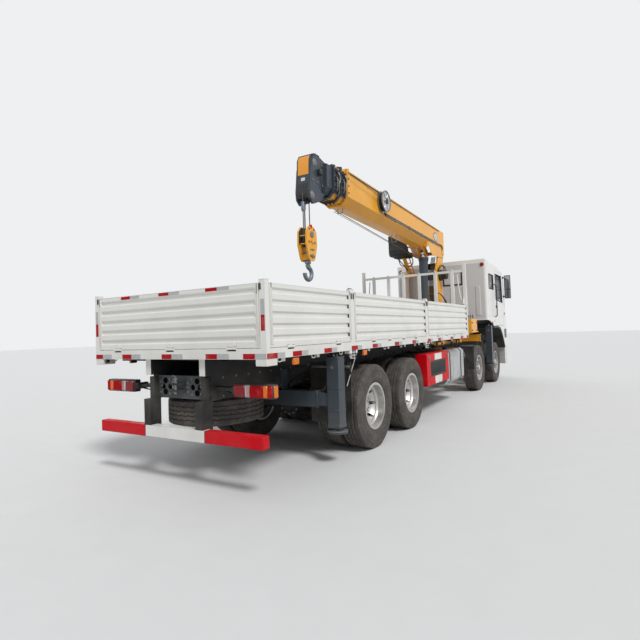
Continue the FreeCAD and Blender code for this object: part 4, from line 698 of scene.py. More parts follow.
def tyre_shape(steps=216):
    """A tyre about the Y axis, with zigzag grooves round its tread."""
    shape = Piece()
    ring = list(SECTION) + [(-across, radius) for across, radius in reversed(SECTION)]
    shape.lathe("Y", (0, 0, 0), ring, TYRE_RUBBER, steps, ring=True)
    for corner in shape.mesh.verts:
        across, radius = corner.co.y, math.hypot(corner.co.x, corner.co.z)
        if radius > TREAD_RADIUS and abs(across) < 0.085:
            turn = math.atan2(corner.co.x, corner.co.z) / (2 * math.pi) * steps / 6
            corner.co.y += 0.0055 * (abs((turn % 1) - 0.5) * 4 - 1)
    return shape


# Wheel nuts' circle and the place that they stand on, the same for the hub's bolts, the rim's lip, then the
# hub cap's place, profile and finish
FRONT_HUB = (0.150, 1.127, 0.070, 1.165, 1.165, 1.119, (
    (0, 0.095), (0.010, 0.095), (0.012, 0.089), (0.040, 0.0875), (0.046, 0.082), (0.0465, 0.050),
    (0.052, 0.046), (0.052, 0.001)), RIM_BRIGHT)
REAR_HUB = (0.160, 1.022, 0.052, 1.104, 0.985, 1.050, (
    (0, 0.070), (0.046, 0.068), (0.054, 0.062), (0.054, 0.034), (0.060, 0.030), (0.060, 0.001)), RIM_GREY)


def build_tyre(wheel, side, axle, middles):
    tyre = Piece("tread_" + wheel, "wheel_" + wheel).on(side)
    for middle in middles:
        tyre.take(tyre_shape(), Matrix.Translation((axle, middle, TYRE_RADIUS)))
        vent = Piece()
        vent.on(side).slab("XZ", [(-0.0012, 0.398), (0.0012, 0.398), (0.0012, 0.452), (-0.0012, 0.452)],
                           0.1470, 0.1505, TYRE_RUBBER, 0)
        tyre.repeat(vent, 90, TYRE_RUBBER, turn=(0, math.pi / 45, 0), centre=(axle, middle, TYRE_RADIUS))
    tyre.done("tyre_" + wheel)


def build_wheel_fittings(wheel, side, axle, hub):
    """Nuts on the wheel's studs, bolts on its hub, and the valve."""
    circle, face, small_circle, nose, lip, cap_place, cap, finish = hub
    fittings = Piece("wheel_nuts_" + wheel, "wheel_" + wheel).on(side)
    nut = bolt_head(0.033, 0.024, fittings.outward("Y"))
    nut.on(side).rod((0, 0, 0), (0, 0.037, 0), 0.011, NUT_STEEL, 10)
    fittings.ring_of(nut, 10, "Y", circle, (axle, face, TYRE_RADIUS))
    fittings.lathe("Y", (axle, cap_place, TYRE_RADIUS), cap, finish, 40)
    bolt = bolt_head(0.014, 0.007, fittings.outward("Y"))
    fittings.ring_of(bolt, 8, "Y", small_circle, (axle, nose, TYRE_RADIUS))
    valve = [(axle + x, lip - inward, TYRE_RADIUS + z)
             for x, inward, z in ((0.10, 0.085, 0.215), (0.105, 0.06, 0.222), (0.104, 0.02, 0.218))]
    fittings.pipe(valve, 0.0045, NUT_STEEL)
    fittings.done()


for number, axle, middles in WHEELS:
    for side_name, side in SIDES.items():
        wheel = "%s_%s" % (number, side_name)
        build_tyre(wheel, side, axle, middles)
        build_wheel_fittings(wheel, side, axle, FRONT_HUB if len(middles) == 1 else REAR_HUB)


def build_spare_tread():
    """The spare, which lies flat under the bed: tread, sidewalls, its disc and what holds it."""
    spare = Piece("spare_tread", "truck")
    lay = Matrix.Translation((0.760, 0.080, 0.705)) @ Matrix.Rotation(math.pi / 2, 4, "X")
    wheel = tyre_shape()
    wheel.lathe("Y", (0, 0, 0), [
        (-0.116, 0.304), (-0.104, 0.304), (-0.100, 0.285), (-0.03, 0.276), (0.02, 0.210), (0.062, 0.200),
        (0.062, 0.072), (0.040, 0.072), (0.040, 0.190), (0.005, 0.195), (-0.060, 0.268), (0.100, 0.285),
        (0.104, 0.304), (0.116, 0.304), (0.116, 0.272), (-0.116, 0.272)], RIM_GREY, 72, ring=True)
    spare.take(wheel, lay)
    spare.block((0.72, 0.80), (-0.03, 0.19), (0.642, 0.700), FRAME_BLACK)
    spare.rod((0.760, 0.080, 0.690), (0.760, 0.080, 0.885), 0.022, FRAME_BLACK)
    spare.done("spare_wheel")


build_spare_tread()


# Rear end of the frame: guard stripes, lamps, tow jaw

def build_guard_stripes():
    stripes = Piece("guard_stripes", "truck")
    for low, high, finish in ((-1.1765, -0.452, GUARD_RED), (-0.448, 0.418, GUARD_WHITE),
                              (0.422, 1.1765, GUARD_RED)):
        stripes.block((0.0185, 0.1115), (low, high), (0.4785, 0.6015), finish, 0.004)
    for across in (-0.38, 0.38):
        stripes.block((0.105, 0.118), (across - 0.05, across + 0.05), (0.490, 0.590), FRAME_BLACK)
    stripes.done()


def build_tail_lamps():
    lamps = Piece("tail_lamps", "truck")
    for half in lamps.both_sides():
        half.block((0.139, 0.225), (0.735, 1.215), (0.922, 1.058), BLACK_MOULDING, 0.008)
        for low, high, finish in ((0.748, 0.880, LENS_DARK), (0.885, 0.945, LENS_CLEAR),
                                  (0.950, 1.100, LENS_RED), (1.105, 1.155, LENS_AMBER),
                                  (1.160, 1.208, LENS_RED)):
            half.block((0.122, 0.142), (low, high), (0.934, 1.046), finish, 0.006)
        rib = Piece().block((-0.002, 0.002), (-0.0015, 0.0015), (-0.052, 0.052), LENS_RED, 0)
        half.repeat(rib, 15, LENS_RED, step=(0, 0.012, 0), centre=(0.122, 0.905, 0.990))
        half.block((0.150, 0.210), (1.210, 1.222), (0.934, 1.046), LENS_AMBER, 0.004)
        half.block((0.15, 0.30), (0.70, 0.735), (0.955, 1.025), FRAME_BLACK)
        half.block((0.19, 0.30), (0.42, 0.73), (0.975, 1.010), FRAME_BLACK)
        half.pipe([(0.225, 0.80, 0.98), (0.27, 0.80, 0.96), (0.30, 0.66, 0.93),
                    (0.31, 0.47, 0.95), (0.31, 0.425, 1.0)], 0.007, HOSE_RUBBER)
    lamps.done()


def build_tow_fittings():
    tow = Piece("tow_fittings", "truck")
    tow.rod((0.080, 0, 0.935), (0.080, 0, 1.085), 0.0192, WORN_STEEL, 20)
    tow.rod((0.080, 0, 1.083), (0.080, 0, 1.098), 0.032, WORN_STEEL, 20)
    tow.pipe([(0.080, 0, 1.096), (0.080, 0.02, 1.125), (0.085, 0.06, 1.128), (0.10, 0.07, 1.10)],
             0.005, WORN_STEEL)
    bolt = bolt_head(0.024, 0.014, "-X")
    for across in (-0.110, 0.110):
        tow.repeat(bolt, 3, NUT_STEEL, step=(0, 0, 0.045), centre=(0.150, across, 0.955))
    for half in tow.both_sides():
        for across in (0.30, 0.40):
            half.repeat(bolt, 2, NUT_STEEL, step=(0, 0, 0.11), centre=(0.150, across, 0.94))
        for z in (0.945, 1.065):
            # Holes in the plate: a shallow dish of painted shade inside a black rim
            half.lathe("X", (0.1500, 0.235, z), [(0, 0.030), (-0.0045, 0.030), (-0.0050, 0.001)],
                       PAINTED_SHADE_BLACK, 24)
            half.lathe("X", (0.1500, 0.235, z), [(0, 0.030), (-0.004, 0.031), (-0.004, 0.034), (0, 0.035)],
                       FRAME_BLACK, 24)
        for y, z in ((0.165, 1.085), (0.165, 0.925), (0.290, 1.010)):
            half.bolt(0.018, 0.010, "-X", Matrix.Translation((0.150, y, z)))
    tow.done()


build_guard_stripes()
build_tail_lamps()
build_tow_fittings()


# Load bed

TAPE_BAND = (1.303, 1.353)
TAPE_PLACES = (0.08, 0.50, 1.10, 1.74, 2.33, 3.08, 3.80, 4.54, 5.11, 5.90, 6.65, 7.12)


def build_side_tape():
    tape = Piece("reflective_tape", "truck")
    for half in tape.both_sides():
        for place in TAPE_PLACES:
            start = max(place - 0.075, 0.016)
            for low, high, finish in ((0, 0.16, TAPE_RED), (0.161, 0.28, TAPE_GREY)):
                if start + low < 7.20:
                    half.block((start + low, min(start + high, 7.218)), (1.2495, 1.2508),
                               TAPE_BAND, finish, 0)
    for high, middle, low in ((1.245, 1.12, 0.96), (0.77, 0.615, 0.465), (0.13, -0.02, -0.18),
                              (-0.50, -0.65, -0.80), (-0.975, -1.115, -1.245)):
        for start, end, finish in ((middle + 0.0005, high, TAPE_RED), (low, middle - 0.0005, TAPE_GREY)):
            tape.block((0.0112, 0.0125), (start, end), TAPE_BAND, finish, 0)
    tape.done()


def build_corner_tape():
    """Upright tape on the rear corners, and short pieces along the tailgate's top edge."""
    tape = Piece("corner_tape", "truck")
    for half in tape.both_sides():
        for low, high, finish in ((1.560, 1.705, TAPE_RED), (1.706, 1.850, TAPE_GREY)):
            half.block((0.0112, 0.0125), (1.194, 1.240), (low, high), finish, 0)
    tape.done()
    top = Piece("tailgate_tape", "tailgate")
    for middle in (0.62, 0.005, -0.67):
        for start, end, finish in ((middle + 0.0005, middle + 0.155, TAPE_RED),
                                   (middle - 0.155, middle - 0.0005, TAPE_GREY)):
            top.block((0.0112, 0.0125), (start, end), (1.962, 1.996), finish, 0)
    top.done()


FOUR_HINGES = (0.2, 0.4, 0.6, 0.8)
# name, tail end, front end, places of the hinges as shares of its length
GATE_SPANS = (("rear", 0.078, 1.666, (0.2, 0.8)), ("middle", 1.768, 4.417, FOUR_HINGES),
              ("front", 4.519, 7.154, FOUR_HINGES))


def build_gate_fittings():
    fixed = Piece("gate_hinge_leaves", "truck")
    for side_name, side in SIDES.items():
        half = fixed.on(side)
        for name, start, end, hinges in GATE_SPANS:
            gate = Piece("gate_fittings_%s_%s" % (name, side_name), "gate_%s_%s" % (name, side_name)).on(side)
            for share in hinges:
                middle = start + (end - start) * share
                # Painted shadow: a thin black strip under each hinge's lip
                half.block((middle - 0.050, middle + 0.050), (1.2498, 1.2506), (1.379, 1.389), PAINTED_SHADE_BLACK, 0)
                gate.block((middle - 0.028, middle + 0.028), (1.2498, 1.2540), (1.416, 1.446),
                           BED_WHITE, 0.001)
                if share in (0.4, 0.6):
                    gate.rod((middle - 0.060, 1.250, 1.403), (middle + 0.060, 1.250, 1.403),
                             0.0118, BED_WHITE)
            # Painted shade: dark marks at the front ends of the rib recesses
            for level in (1.460, 1.570, 1.680, 1.790, 1.900):
                gate.block((end - 0.050, end - 0.040), (1.2370, 1.2505), (level + 0.012, level + 0.050),
                           SEAL_RUBBER, 0)
            for edge, inward in ((start, 1), (end, -1)):
                x = edge + inward * 0.022
                gate.block((x - 0.014, x + 0.014), (1.2495, 1.2555), (1.43, 1.985), HINGE_WHITE, 0.002)
                gate.rod((x, 1.253, 1.955), (x, 1.253, 1.999), 0.007, WORN_STEEL)
            gate.block((start + 0.002, end - 0.002), (1.202, 1.2515), (1.994, 2.002), BED_WHITE, 0.0025)
            rivet = Piece()
            rivet.on(side).lathe("Y", (0, 0, 0), [(0, 0.0065), (0.002, 0.0060), (0.0035, 0.003),
                                                  (0.0037, 0.0005)], BED_WHITE, 8)
            count = int((end - start - 0.12) / 0.16)
            for level in (1.425, 1.985):
                gate.repeat(rivet, count + 1, BED_WHITE, step=((end - start - 0.12) / count, 0, 0),
                            centre=(start + 0.06, 1.250, level))
            gate.done()
    fixed.done()


def build_post_fittings():
    posts = Piece("post_fittings", "truck")
    for half in posts.both_sides():
        for middle in (1.717, 4.468):
            for x in (middle - 0.028, middle + 0.028):
                half.bolt_row(0.020, 0.010, "Y", 3, (0, 0, 0.036), (x, 1.250, 1.222), BLACK_MOULDING)
            half.block((middle - 0.048, middle + 0.048), (1.196, 1.2525), (2.028, 2.036),
                        BED_WHITE, 0.002)
            for x in (middle - 0.026, middle + 0.026):
                half.rod((x, 1.222, 2.03), (x, 1.222, 2.048), 0.012, BLACK_MOULDING)
                # Painted shade: a black mark for each latch hole on the post
                half.block((x - 0.010, x + 0.010), (1.2495, 1.2600), (1.915, 1.985),
                            BLACK_MOULDING, 0.003)
            half.block((middle - 0.100, middle + 0.100), (1.200, 1.2490), (1.262, 1.302), BED_WHITE, 0.003)
            gusset = [(1.225, 1.300), (1.190, 1.300), (1.225, 1.215)]
            half.slab("YZ", gusset, middle - 0.006, middle + 0.006, BED_WHITE)
        for x, low, high in ((0.042, 1.40, 2.03), (7.190, 1.40, 2.94)):
            half.block((x - 0.032, x + 0.032), (1.183, 1.2525), (high - 0.004, high + 0.003),
                       BED_WHITE, 0.002)
        half.rod((1.890, 1.200, 1.27), (1.595, 1.205, 0.88), 0.008, WORN_STEEL)
        for x in (0.50, 2.05, 6.60):
            half.block((x - 0.040, x + 0.040), (1.200, 1.218), (1.225, 1.302), BLACK_MOULDING, 0.003)
            half.block((x - 0.046, x + 0.046), (1.214, 1.244), (1.220, 1.288), LENS_AMBER, 0.006)
        half.block((0.0125, 0.175), (1.120, 1.2495), (1.238, 1.3015), BED_WHITE, 0.004)
        half.rod((0.06, 1.09, 1.275), (0.06, 1.122, 1.275), 0.022, BLACK_MOULDING, 14)
        half.rod((0.170, 1.20, 1.275), (0.205, 1.20, 1.275), 0.022, BLACK_MOULDING, 14)
        for start, count in ((0.24, 3), (2.10, 4), (4.80, 4)):
            loop = Piece()
            loop.pipe([(-0.035, 0, 0.0), (-0.035, 0, -0.028), (-0.015, 0, -0.036), (0.015, 0, -0.036),
                       (0.035, 0, -0.028), (0.035, 0, 0.0)], 0.006, HINGE_WHITE, 1)
            half.repeat(loop, count, HINGE_WHITE, step=(0.60, 0, 0), centre=(start, 1.225, 1.302))
    posts.done()


def build_tailgate_fittings():
    fixed = Piece("tailgate_hinge_shadows_and_latches", "truck")
    moving = Piece("tailgate_fittings", "tailgate")
    for middle in (-0.84, 0.0, 0.84):
        # Painted shadow: a thin black strip under each hinge's lip
        fixed.block((0.0114, 0.0124), (middle - 0.052, middle + 0.052), (1.378, 1.389), PAINTED_SHADE_BLACK, 0)
        moving.block((0.0040, 0.0124), (middle - 0.036, middle + 0.036), (1.417, 1.464), BED_WHITE, 0.002)
    moving.block((0.010, 0.060), (-1.171, 1.171), (1.994, 2.002), BED_WHITE, 0.0025)
    for side in SIDES.values():
        moving.on(side).block((0.0065, 0.0125), (1.150, 1.170), (1.43, 1.985), HINGE_WHITE, 0.002)
        fixed.on(side).block((0.0045, 0.0125), (1.182, 1.206), (1.935, 1.995), BLACK_MOULDING, 0.003)
        moving.on(side).rod((0.0085, 1.160, 1.90), (0.0085, 1.160, 1.99), 0.006, WORN_STEEL)
    fixed.done()
    moving.done()


def build_bed_floor():
    """Boards of pressed sheet with raised tread bars, on top of the floor."""
    floor = Piece("bed_floor", "truck")
    board = Piece().block((-3.525, 3.525), (-0.111, 0.111), (0, 0.007), FLOOR_GREY, 0.002)
    floor.repeat(board, 10, FLOOR_GREY, step=(0, 0.230, 0), centre=(3.60, -1.035, 1.3895))
    bar = Piece().slab("XY", [(-0.020, -0.002), (0.0, -0.005), (0.020, -0.002), (0.020, 0.002), (0.0, 0.005),
                              (-0.020, 0.002)], 0, 0.002, FLOOR_GREY, 0)
    row = Piece().repeat(bar, 58, FLOOR_GREY, step=(0.12, 0, 0))
    for number in range(20):
        floor.take(row, Matrix.Translation((0.18 + 0.06 * (number % 2), -1.09 + 0.115 * number, 1.396)))
    bolt = bolt_head(0.020, 0.004, "Z")
    for x in (0.30, 2.22, 4.14, 6.06, 6.90):
        floor.repeat(bolt, 10, NUT_STEEL, step=(0, 0.230, 0), centre=(x, -1.035 - 0.06, 1.396))
    floor.done()


def build_rack():
    rack = Piece("rack_fittings", "truck")
    for number in range(6):
        across = -0.95 + 0.38 * number
        rack.block((7.142, 7.218), (across - 0.035, across + 0.035), (2.034, 2.046), BED_WHITE)
        rack.block((7.166, 7.203), (across - 0.036, across + 0.036), (2.036, 2.765), BED_WHITE, 0.004)
        rack.rod((7.178, across, 2.785), (7.178, across, 2.815), 0.022, BED_WHITE, 16)
    for half in rack.both_sides():
        half.slab("XZ", [(7.172, 2.04), (7.172, 2.22), (7.060, 2.04)], 1.19, 1.198, BED_WHITE)
        half.pipe([(7.19, 1.16, 2.05), (7.19, 1.10, 2.18), (7.19, 1.06, 2.70)], 0.014, BED_WHITE)
    for across in (-0.9, -0.45, 0.0, 0.45, 0.9):
        rack.block((7.160, 7.176), (across - 0.03, across + 0.03), (1.42, 2.03), BED_WHITE, 0.004)
    rack.done()


build_side_tape()
build_corner_tape()
build_gate_fittings()
build_post_fittings()
build_tailgate_fittings()
build_bed_floor()
build_rack()


# Crane: fixed base, column, boom

BOOM_TILT = math.radians(2)
PIVOT_X = 8.920
PIVOT_Z = 3.500
SLEW_X = 8.620
WINCH = (8.660, 2.880)


def on_boom(u, y, w):
    """A place on the resting boom: u toward its tip from the pivot, w above its line."""
    c, s = math.cos(BOOM_TILT), math.sin(BOOM_TILT)
    return Vector((PIVOT_X - u * c + w * s, y, PIVOT_Z + u * s + w * c))


def boom_line(*points):
    return [on_boom(*point) for point in points]


def boom_place(u, y, w):
    return Matrix.Translation(on_boom(u, y, w)) @ Matrix.Rotation(BOOM_TILT, 4, "Y")


def build_base_fittings():
    base = Piece("base_fittings", "truck")
    base.lathe("Z", (SLEW_X, 0, 1.748), [
        (0, 0.400), (0.022, 0.400), (0.024, 0.392), (0.030, 0.385)], CRANE_YELLOW, 64)
    for half in base.both_sides():
        for x in (8.20, 8.64):
            half.bolt_row(0.030, 0.018, "Y", 2, (0, 0, 0.18), (x, 1.100, 1.45))
        half.block((8.136, 8.704), (1.096, 1.106), (1.395, 1.425), CRANE_YELLOW)
        for number in range(6):
            x = 7.55 + 0.42 * number
            if not 8.0 < x < 8.7:
                half.block((x - 0.05, x + 0.05), (0.425, 0.440), (1.00, 1.245), FRAME_BLACK)
                half.bolt_row(0.024, 0.014, "Y", 3, (0, 0, 0.09), (x, 0.440, 1.02))
        # Valve levers over their banks
        for number in range(6):
            y = 0.68 + 0.058 * number
            half.rod((8.80, y, 1.598), (8.80, y, 1.640), 0.018, WORN_STEEL)
            half.rod((8.80, y, 1.635), (8.835, y, 1.775), 0.006, WORN_STEEL)
            half.rod((8.833, y, 1.765), (8.848, y, 1.825), 0.014, BLACK_MOULDING)
            half.rod((8.90, y, 1.598), (8.90, y, 1.615), 0.015, WORN_STEEL)
            half.pipe([(8.90, y, 1.61), (8.90, y, 1.68), (8.86, y * 0.8, 1.74), (8.76, y * 0.5, 1.765),
                       (8.70, y * 0.42, 1.755)], 0.009, HOSE_RUBBER, 1)
        half.block((8.70, 8.965), (0.645, 1.015), (1.596, 1.602), BLACK_MOULDING)
        half.lathe("X", (8.965, 0.70, 1.51), [(0, 0.045), (0.030, 0.045), (0.034, 0.040), (0.034, 0.001)],
                   BLACK_MOULDING, 24)
        half.lathe("X", (8.994, 0.70, 1.51), [(0, 0.038), (0.006, 0.038), (0.006, 0.001)], PLATE_BLANK, 24)
        # Hoses to the outriggers, clipped along the frame
        for number in range(3):
            z = 0.935 + 0.028 * number
            half.pipe([(8.70, 0.60 - 0.02 * number, 1.42), (8.66, 0.50, 1.30), (8.55, 0.445, z + 0.05),
                       (8.2, 0.443, z), (6.95, 0.443, z), (5.0, 0.443, z),
                       (2.2, 0.443, z), (1.56, 0.443, z - 0.02), (1.46, 0.47, 0.86)], 0.010, HOSE_RUBBER, 1)
        for x in (2.4, 3.4, 4.6, 5.8, 7.0, 8.0):
            half.block((x - 0.012, x + 0.012), (0.429, 0.456), (0.915, 1.010), WORN_STEEL)
        half.block((1.325, 1.485), (0.935, 0.954), (0.652, 0.850), LEG_GREY)
        half.block((9.645, 9.805), (0.935, 0.954), (1.137, 1.335), CRANE_YELLOW)
    base.ring_of(bolt_head(0.024, 0.016), 36, "Z", 0.366, (SLEW_X, 0, 1.770))
    base.done()


# row, middle of the leg, its lower and upper end, height of its beam
OUTRIGGERS = (("rear", 1.405, 0.430, 1.240, 0.751), ("front", 9.725, 0.560, 1.550, 1.236))


def build_outrigger_fittings():
    for row, x, low, high, beam in OUTRIGGERS:
        for side_name, side in SIDES.items():
            place = "%s_%s" % (row, side_name)
            leg = Piece("leg_fittings_" + place, "outrigger_" + place).on(side)
            middle = 1.165
            leg.block((x - 0.080, x + 0.080), (middle - 0.080, middle + 0.080), (high - 0.012, high + 0.004),
                      LEG_GREY, 0.004)
            leg.block((x - 0.082, x + 0.082), (middle - 0.082, middle + 0.082), (low - 0.002, low + 0.045),
                      LEG_GREY, 0.006)
            for z in (beam - 0.13, beam + 0.12):
                leg.block((x - 0.079, x + 0.079), (middle - 0.079, middle + 0.079), (z, z + 0.022),
                          LEG_GREY, 0.004)
            leg.bolt(0.026, 0.012, "-X", Matrix.Translation((x - 0.079, middle, high - 0.12)))
            for offset in (-0.035, 0.035):
                leg.rod((x + offset, middle, high + 0.002), (x + offset, middle, high + 0.030),
                        0.014, WORN_STEEL)
                leg.pipe([(x + offset, middle, high + 0.025), (x + offset, middle, high + 0.055),
                          (x + offset, middle - 0.05, high + 0.055), (x + offset, middle - 0.088, high),
                          (x + offset, middle - 0.088, beam + 0.14), (x + offset * 0.8, 1.0, beam + 0.098)],
                         0.010, HOSE_RUBBER, 1)
            leg.done()
            foot = Piece("foot_fittings_" + place, "jack_" + place).on(side)
            foot.lathe("Z", (x, middle, low - 0.060), [
                (0, 0.120), (0.008, 0.123), (0.022, 0.123), (0.030, 0.112), (0.036, 0.066), (0.052, 0.062)],
                HEAD_GREY, 32)
            rib = Piece().slab("XZ", [(0.040, 0.030), (0.105, 0.030), (0.044, 0.060)], -0.005,
                               0.005, HEAD_GREY, 0)
            foot.repeat(rib, 4, HEAD_GREY, turn=(0, 0, math.pi / 2), centre=(x, middle, low - 0.060))
            foot.done()


def build_column_fittings():
    column = Piece("column_fittings", "superstructure")
    column.ring_of(bolt_head(0.022, 0.014), 32, "Z", 0.345, (SLEW_X, 0, 1.860))
    for half in column.both_sides():
        half.lathe("Y", (PIVOT_X, 0.225, PIVOT_Z), [
            (0, 0.085), (0.010, 0.085), (0.012, 0.078), (0.014, 0.046), (0.022, 0.044),
            (0.024, 0.001)], CRANE_YELLOW, 32)
        half.ring_of(bolt_head(0.020, 0.010, half.outward("Y")), 6, "Y", 0.066, (PIVOT_X, 0.236, PIVOT_Z))
        half.slab("XZ", [(8.42, 1.95), (8.83, 1.95), (8.83, 2.55), (8.42, 2.55)], 0.2245,
                  0.2285, CRANE_YELLOW)
        half.slab("XZ", [(8.405, 2.60), (8.46, 2.60), (8.74, 3.46), (8.69, 3.52), (8.405, 3.02)],
                    0.2245, 0.230, CRANE_YELLOW)
        for number in range(4):
            offset = 0.045 + 0.030 * number
            half.pipe([(8.385, offset, 1.90), (8.375, offset, 2.05), (8.385, offset, 2.40),
                         (8.385, offset, 2.75), (8.50, offset, 3.15), (8.64, offset, 3.36)],
                        0.011, HOSE_RUBBER, 1)
    for z in (2.02, 2.38):
        column.block((8.365, 8.402), (-0.17, 0.17), (z, z + 0.02), WORN_STEEL)
    column.lathe("Z", (8.600, -0.292, 1.945), [(0, 0.080), (0.012, 0.080), (0.014, 0.064), (0.20, 0.064),
                                               (0.215, 0.060), (0.225, 0.040), (0.225, 0.001)],
                 BLACK_MOULDING, 28)
    for x in (8.55, 8.65):
        column.rod((x, -0.292, 2.06), (x, -0.365, 2.06), 0.014, WORN_STEEL)
        column.pipe([(x, -0.36, 2.06), (x, -0.395, 2.06), (x - 0.04, -0.39, 2.2), (8.46, -0.31, 2.38),
                     (8.43, -0.235, 2.42)], 0.011, HOSE_RUBBER, 1)
    # A black sheet between the ears, over the winch: painted shade for the shaded inside of the column
    column.slab("XZ", [(8.600, 3.035), (8.625, 3.035), (8.680, 3.205), (8.655, 3.205)], -0.198, 0.198,
                BLACK_MOULDING, 0.003)
    # Arm and ladder rungs to the operator's seat
    for number in range(4):
        x, z = 8.555 - 0.085 * number, 3.00 + 0.075 * number
        column.rod((x, 0.40, z), (x, 0.50, z), 0.012, CRANE_YELLOW)
    column.rod((8.56, 0.40, 2.95), (8.20, 0.40, 3.335), 0.016, CRANE_YELLOW)
    column.block((8.00, 8.27), (0.36, 0.74), (3.340, 3.368), FRAME_BLACK)
    column.pipe([(8.50, 0.52, 2.95), (8.30, 0.52, 3.10), (7.95, 0.60, 3.30), (7.90, 0.60, 3.345)],
                0.012, FRAME_BLACK)
    column.done()


def build_winch_fittings():
    winch = Piece("winch_rope", "superstructure")
    wrap = Piece().lathe("Y", (0, 0, 0), [(-0.0078, 0.100), (-0.0078, 0.104), (-0.0055, 0.1105), (0, 0.1135),
                                          (0.0055, 0.1105), (0.0078, 0.104), (0.0078, 0.100)], ROPE_STEEL, 40)
    winch.repeat(wrap, 20, ROPE_STEEL, step=(0, 0.0160, 0), centre=(WINCH[0], -0.152, WINCH[1]))
    winch.ring_of(bolt_head(0.016, 0.010, "-Y"), 10, "Y", 0.125, (WINCH[0], -0.2849, WINCH[1]))
    ring = Piece().lathe("Y", (0, 0, 0), [(0, 0.109), (-0.003, 0.1125), (-0.006, 0.109)], BLACK_MOULDING, 32)
    winch.repeat(ring, 8, BLACK_MOULDING, step=(0, -0.013, 0), centre=(WINCH[0], -0.306, WINCH[1]))
    for x in (8.60, 8.72):
        winch.rod((x, -0.36, 2.975), (x, -0.36, 3.02), 0.018, WORN_STEEL)
        winch.pipe([(x, -0.36, 3.01), (x, -0.36, 3.08), (x - 0.06, -0.33, 3.13), (x - 0.10, -0.27, 3.10),
                    (8.46, -0.235, 2.95)], 0.011, HOSE_RUBBER, 1)
    winch.done()


def build_hoist_rope():
    """Taut runs of the hoist rope under the boom, with the two hangers that guide them."""
    rope = Piece("hoist_rope", "boom")
    rope.rod(on_boom(0.42, 0.152, -0.24), on_boom(5.26, 0.005, -0.105), 0.007, ROPE_STEEL, 8)
    rope.rod(on_boom(0.42, 0.176, -0.24), on_boom(5.26, 0.040, -0.112), 0.004, ROPE_STEEL, 8)
    for u, low in ((5.10, -0.105), (2.70, -0.175)):
        rope.block((-0.010, 0.010), (-0.055, 0.055), (-0.004, 0.004), WORN_STEEL, 0.001,
                   boom_place(u, 0, low))
        for y in (-0.05, 0.05):
            rope.rod(on_boom(u, y, -0.028), on_boom(u, y, low), 0.006, WORN_STEEL)
    rope.done()


def build_boom_fittings():
    boom = Piece("boom_fittings", "boom")
    for half in boom.both_sides():
        for w in (0.16, 0.28, 0.40, 0.50):
            half.bolt(0.022, 0.012, "Y", boom_place(5.265, 0.258, w))
        for u in (1.9, 3.1, 4.5):
            half.lathe("Y", on_boom(u, 0.2395, 0.46), [(0, 0.016), (0.004, 0.016), (0.006, 0.012),
                                                              (0.006, 0.001)], CRANE_YELLOW, 16)
        half.block((-0.75, 0.12), (-0.004, 0.004), (-0.11, 0.11), CRANE_YELLOW, 0.003,
                   boom_place(0.05, 0.2425, 0.22))
        half.block((-0.55, 0.55), (-0.003, 0.003), (-0.055, 0.055), CRANE_YELLOW, 0.002,
                   boom_place(2.6, 0.2415, 0.155))
    for y in (-0.14, 0.0, 0.14):
        boom.bolt(0.022, 0.012, "Z", boom_place(5.265, y, 0.568))
    # Handle and lifting lugs on top
    handle = ((0.42, 0.548), (0.42, 0.612), (0.46, 0.625), (0.60, 0.625), (0.64, 0.612), (0.64, 0.548))
    boom.pipe([on_boom(u, -0.10, w) for u, w in handle], 0.010, CRANE_YELLOW)
    for u in (0.95, 4.70):
        boom.slab("XZ", [(-0.07, 0.0), (0.07, 0.0), (0.035, 0.07), (-0.035, 0.07)], -0.010, 0.010,
                  CRANE_YELLOW, 0.004, boom_place(u, 0, 0.548))
    # Angle plate: a blank dial with its weighted needle
    dial = boom_place(0.55, -0.2455, 0.30)
    boom.slab("XZ", round_outline(24, 0.155, 0.125), -0.004, 0.004, BLOCK_GREY, 0.001, dial)
    boom.slab("XZ", round_outline(24, 0.120, 0.092), -0.006, -0.004, PLATE_BLANK, 0, dial)
    boom.slab("XZ", [(-0.010, 0.03), (0.010, 0.03), (0.004, -0.08), (-0.004, -0.08)], -0.010, -0.0065,
              BLACK_MOULDING, 0, dial @ Matrix.Rotation(-BOOM_TILT, 4, "Y"))
    # Hoses and pipes along the right side, into the reel and the root
    for w, end, radius in ((0.135, 3.70, 0.012), (0.170, 3.70, 0.012), (0.515, 5.20, 0.009)):
        boom.rod(on_boom(0.25, -0.252, w), on_boom(end, -0.252, w), radius, WORN_STEEL, 10)
    for u in (0.8, 1.6, 2.4, 3.2):
        boom.block((-0.016, 0.016), (-0.015, 0.004), (-0.040, 0.040), WORN_STEEL, 0.002,
                   boom_place(u, -0.245, 0.152))
    boom.pipe(boom_line((3.69, -0.252, 0.135), (3.78, -0.256, 0.16), (3.86, -0.275, 0.21),
                        (3.90, -0.285, 0.26)), 0.012, HOSE_RUBBER)
    boom.pipe(boom_line((0.26, -0.252, 0.170), (0.12, -0.262, 0.165), (0.00, -0.258, 0.10),
                        (0.10, -0.20, -0.05), (0.22, -0.17, -0.13)), 0.012, HOSE_RUBBER)
    for half in boom.both_sides():
        half.lathe("Y", on_boom(0.8, 0.083, -0.11), [
            (0, 0.050), (0.012, 0.050), (0.016, 0.042), (0.016, 0.001)], NUT_STEEL, 24)
    boom.done()


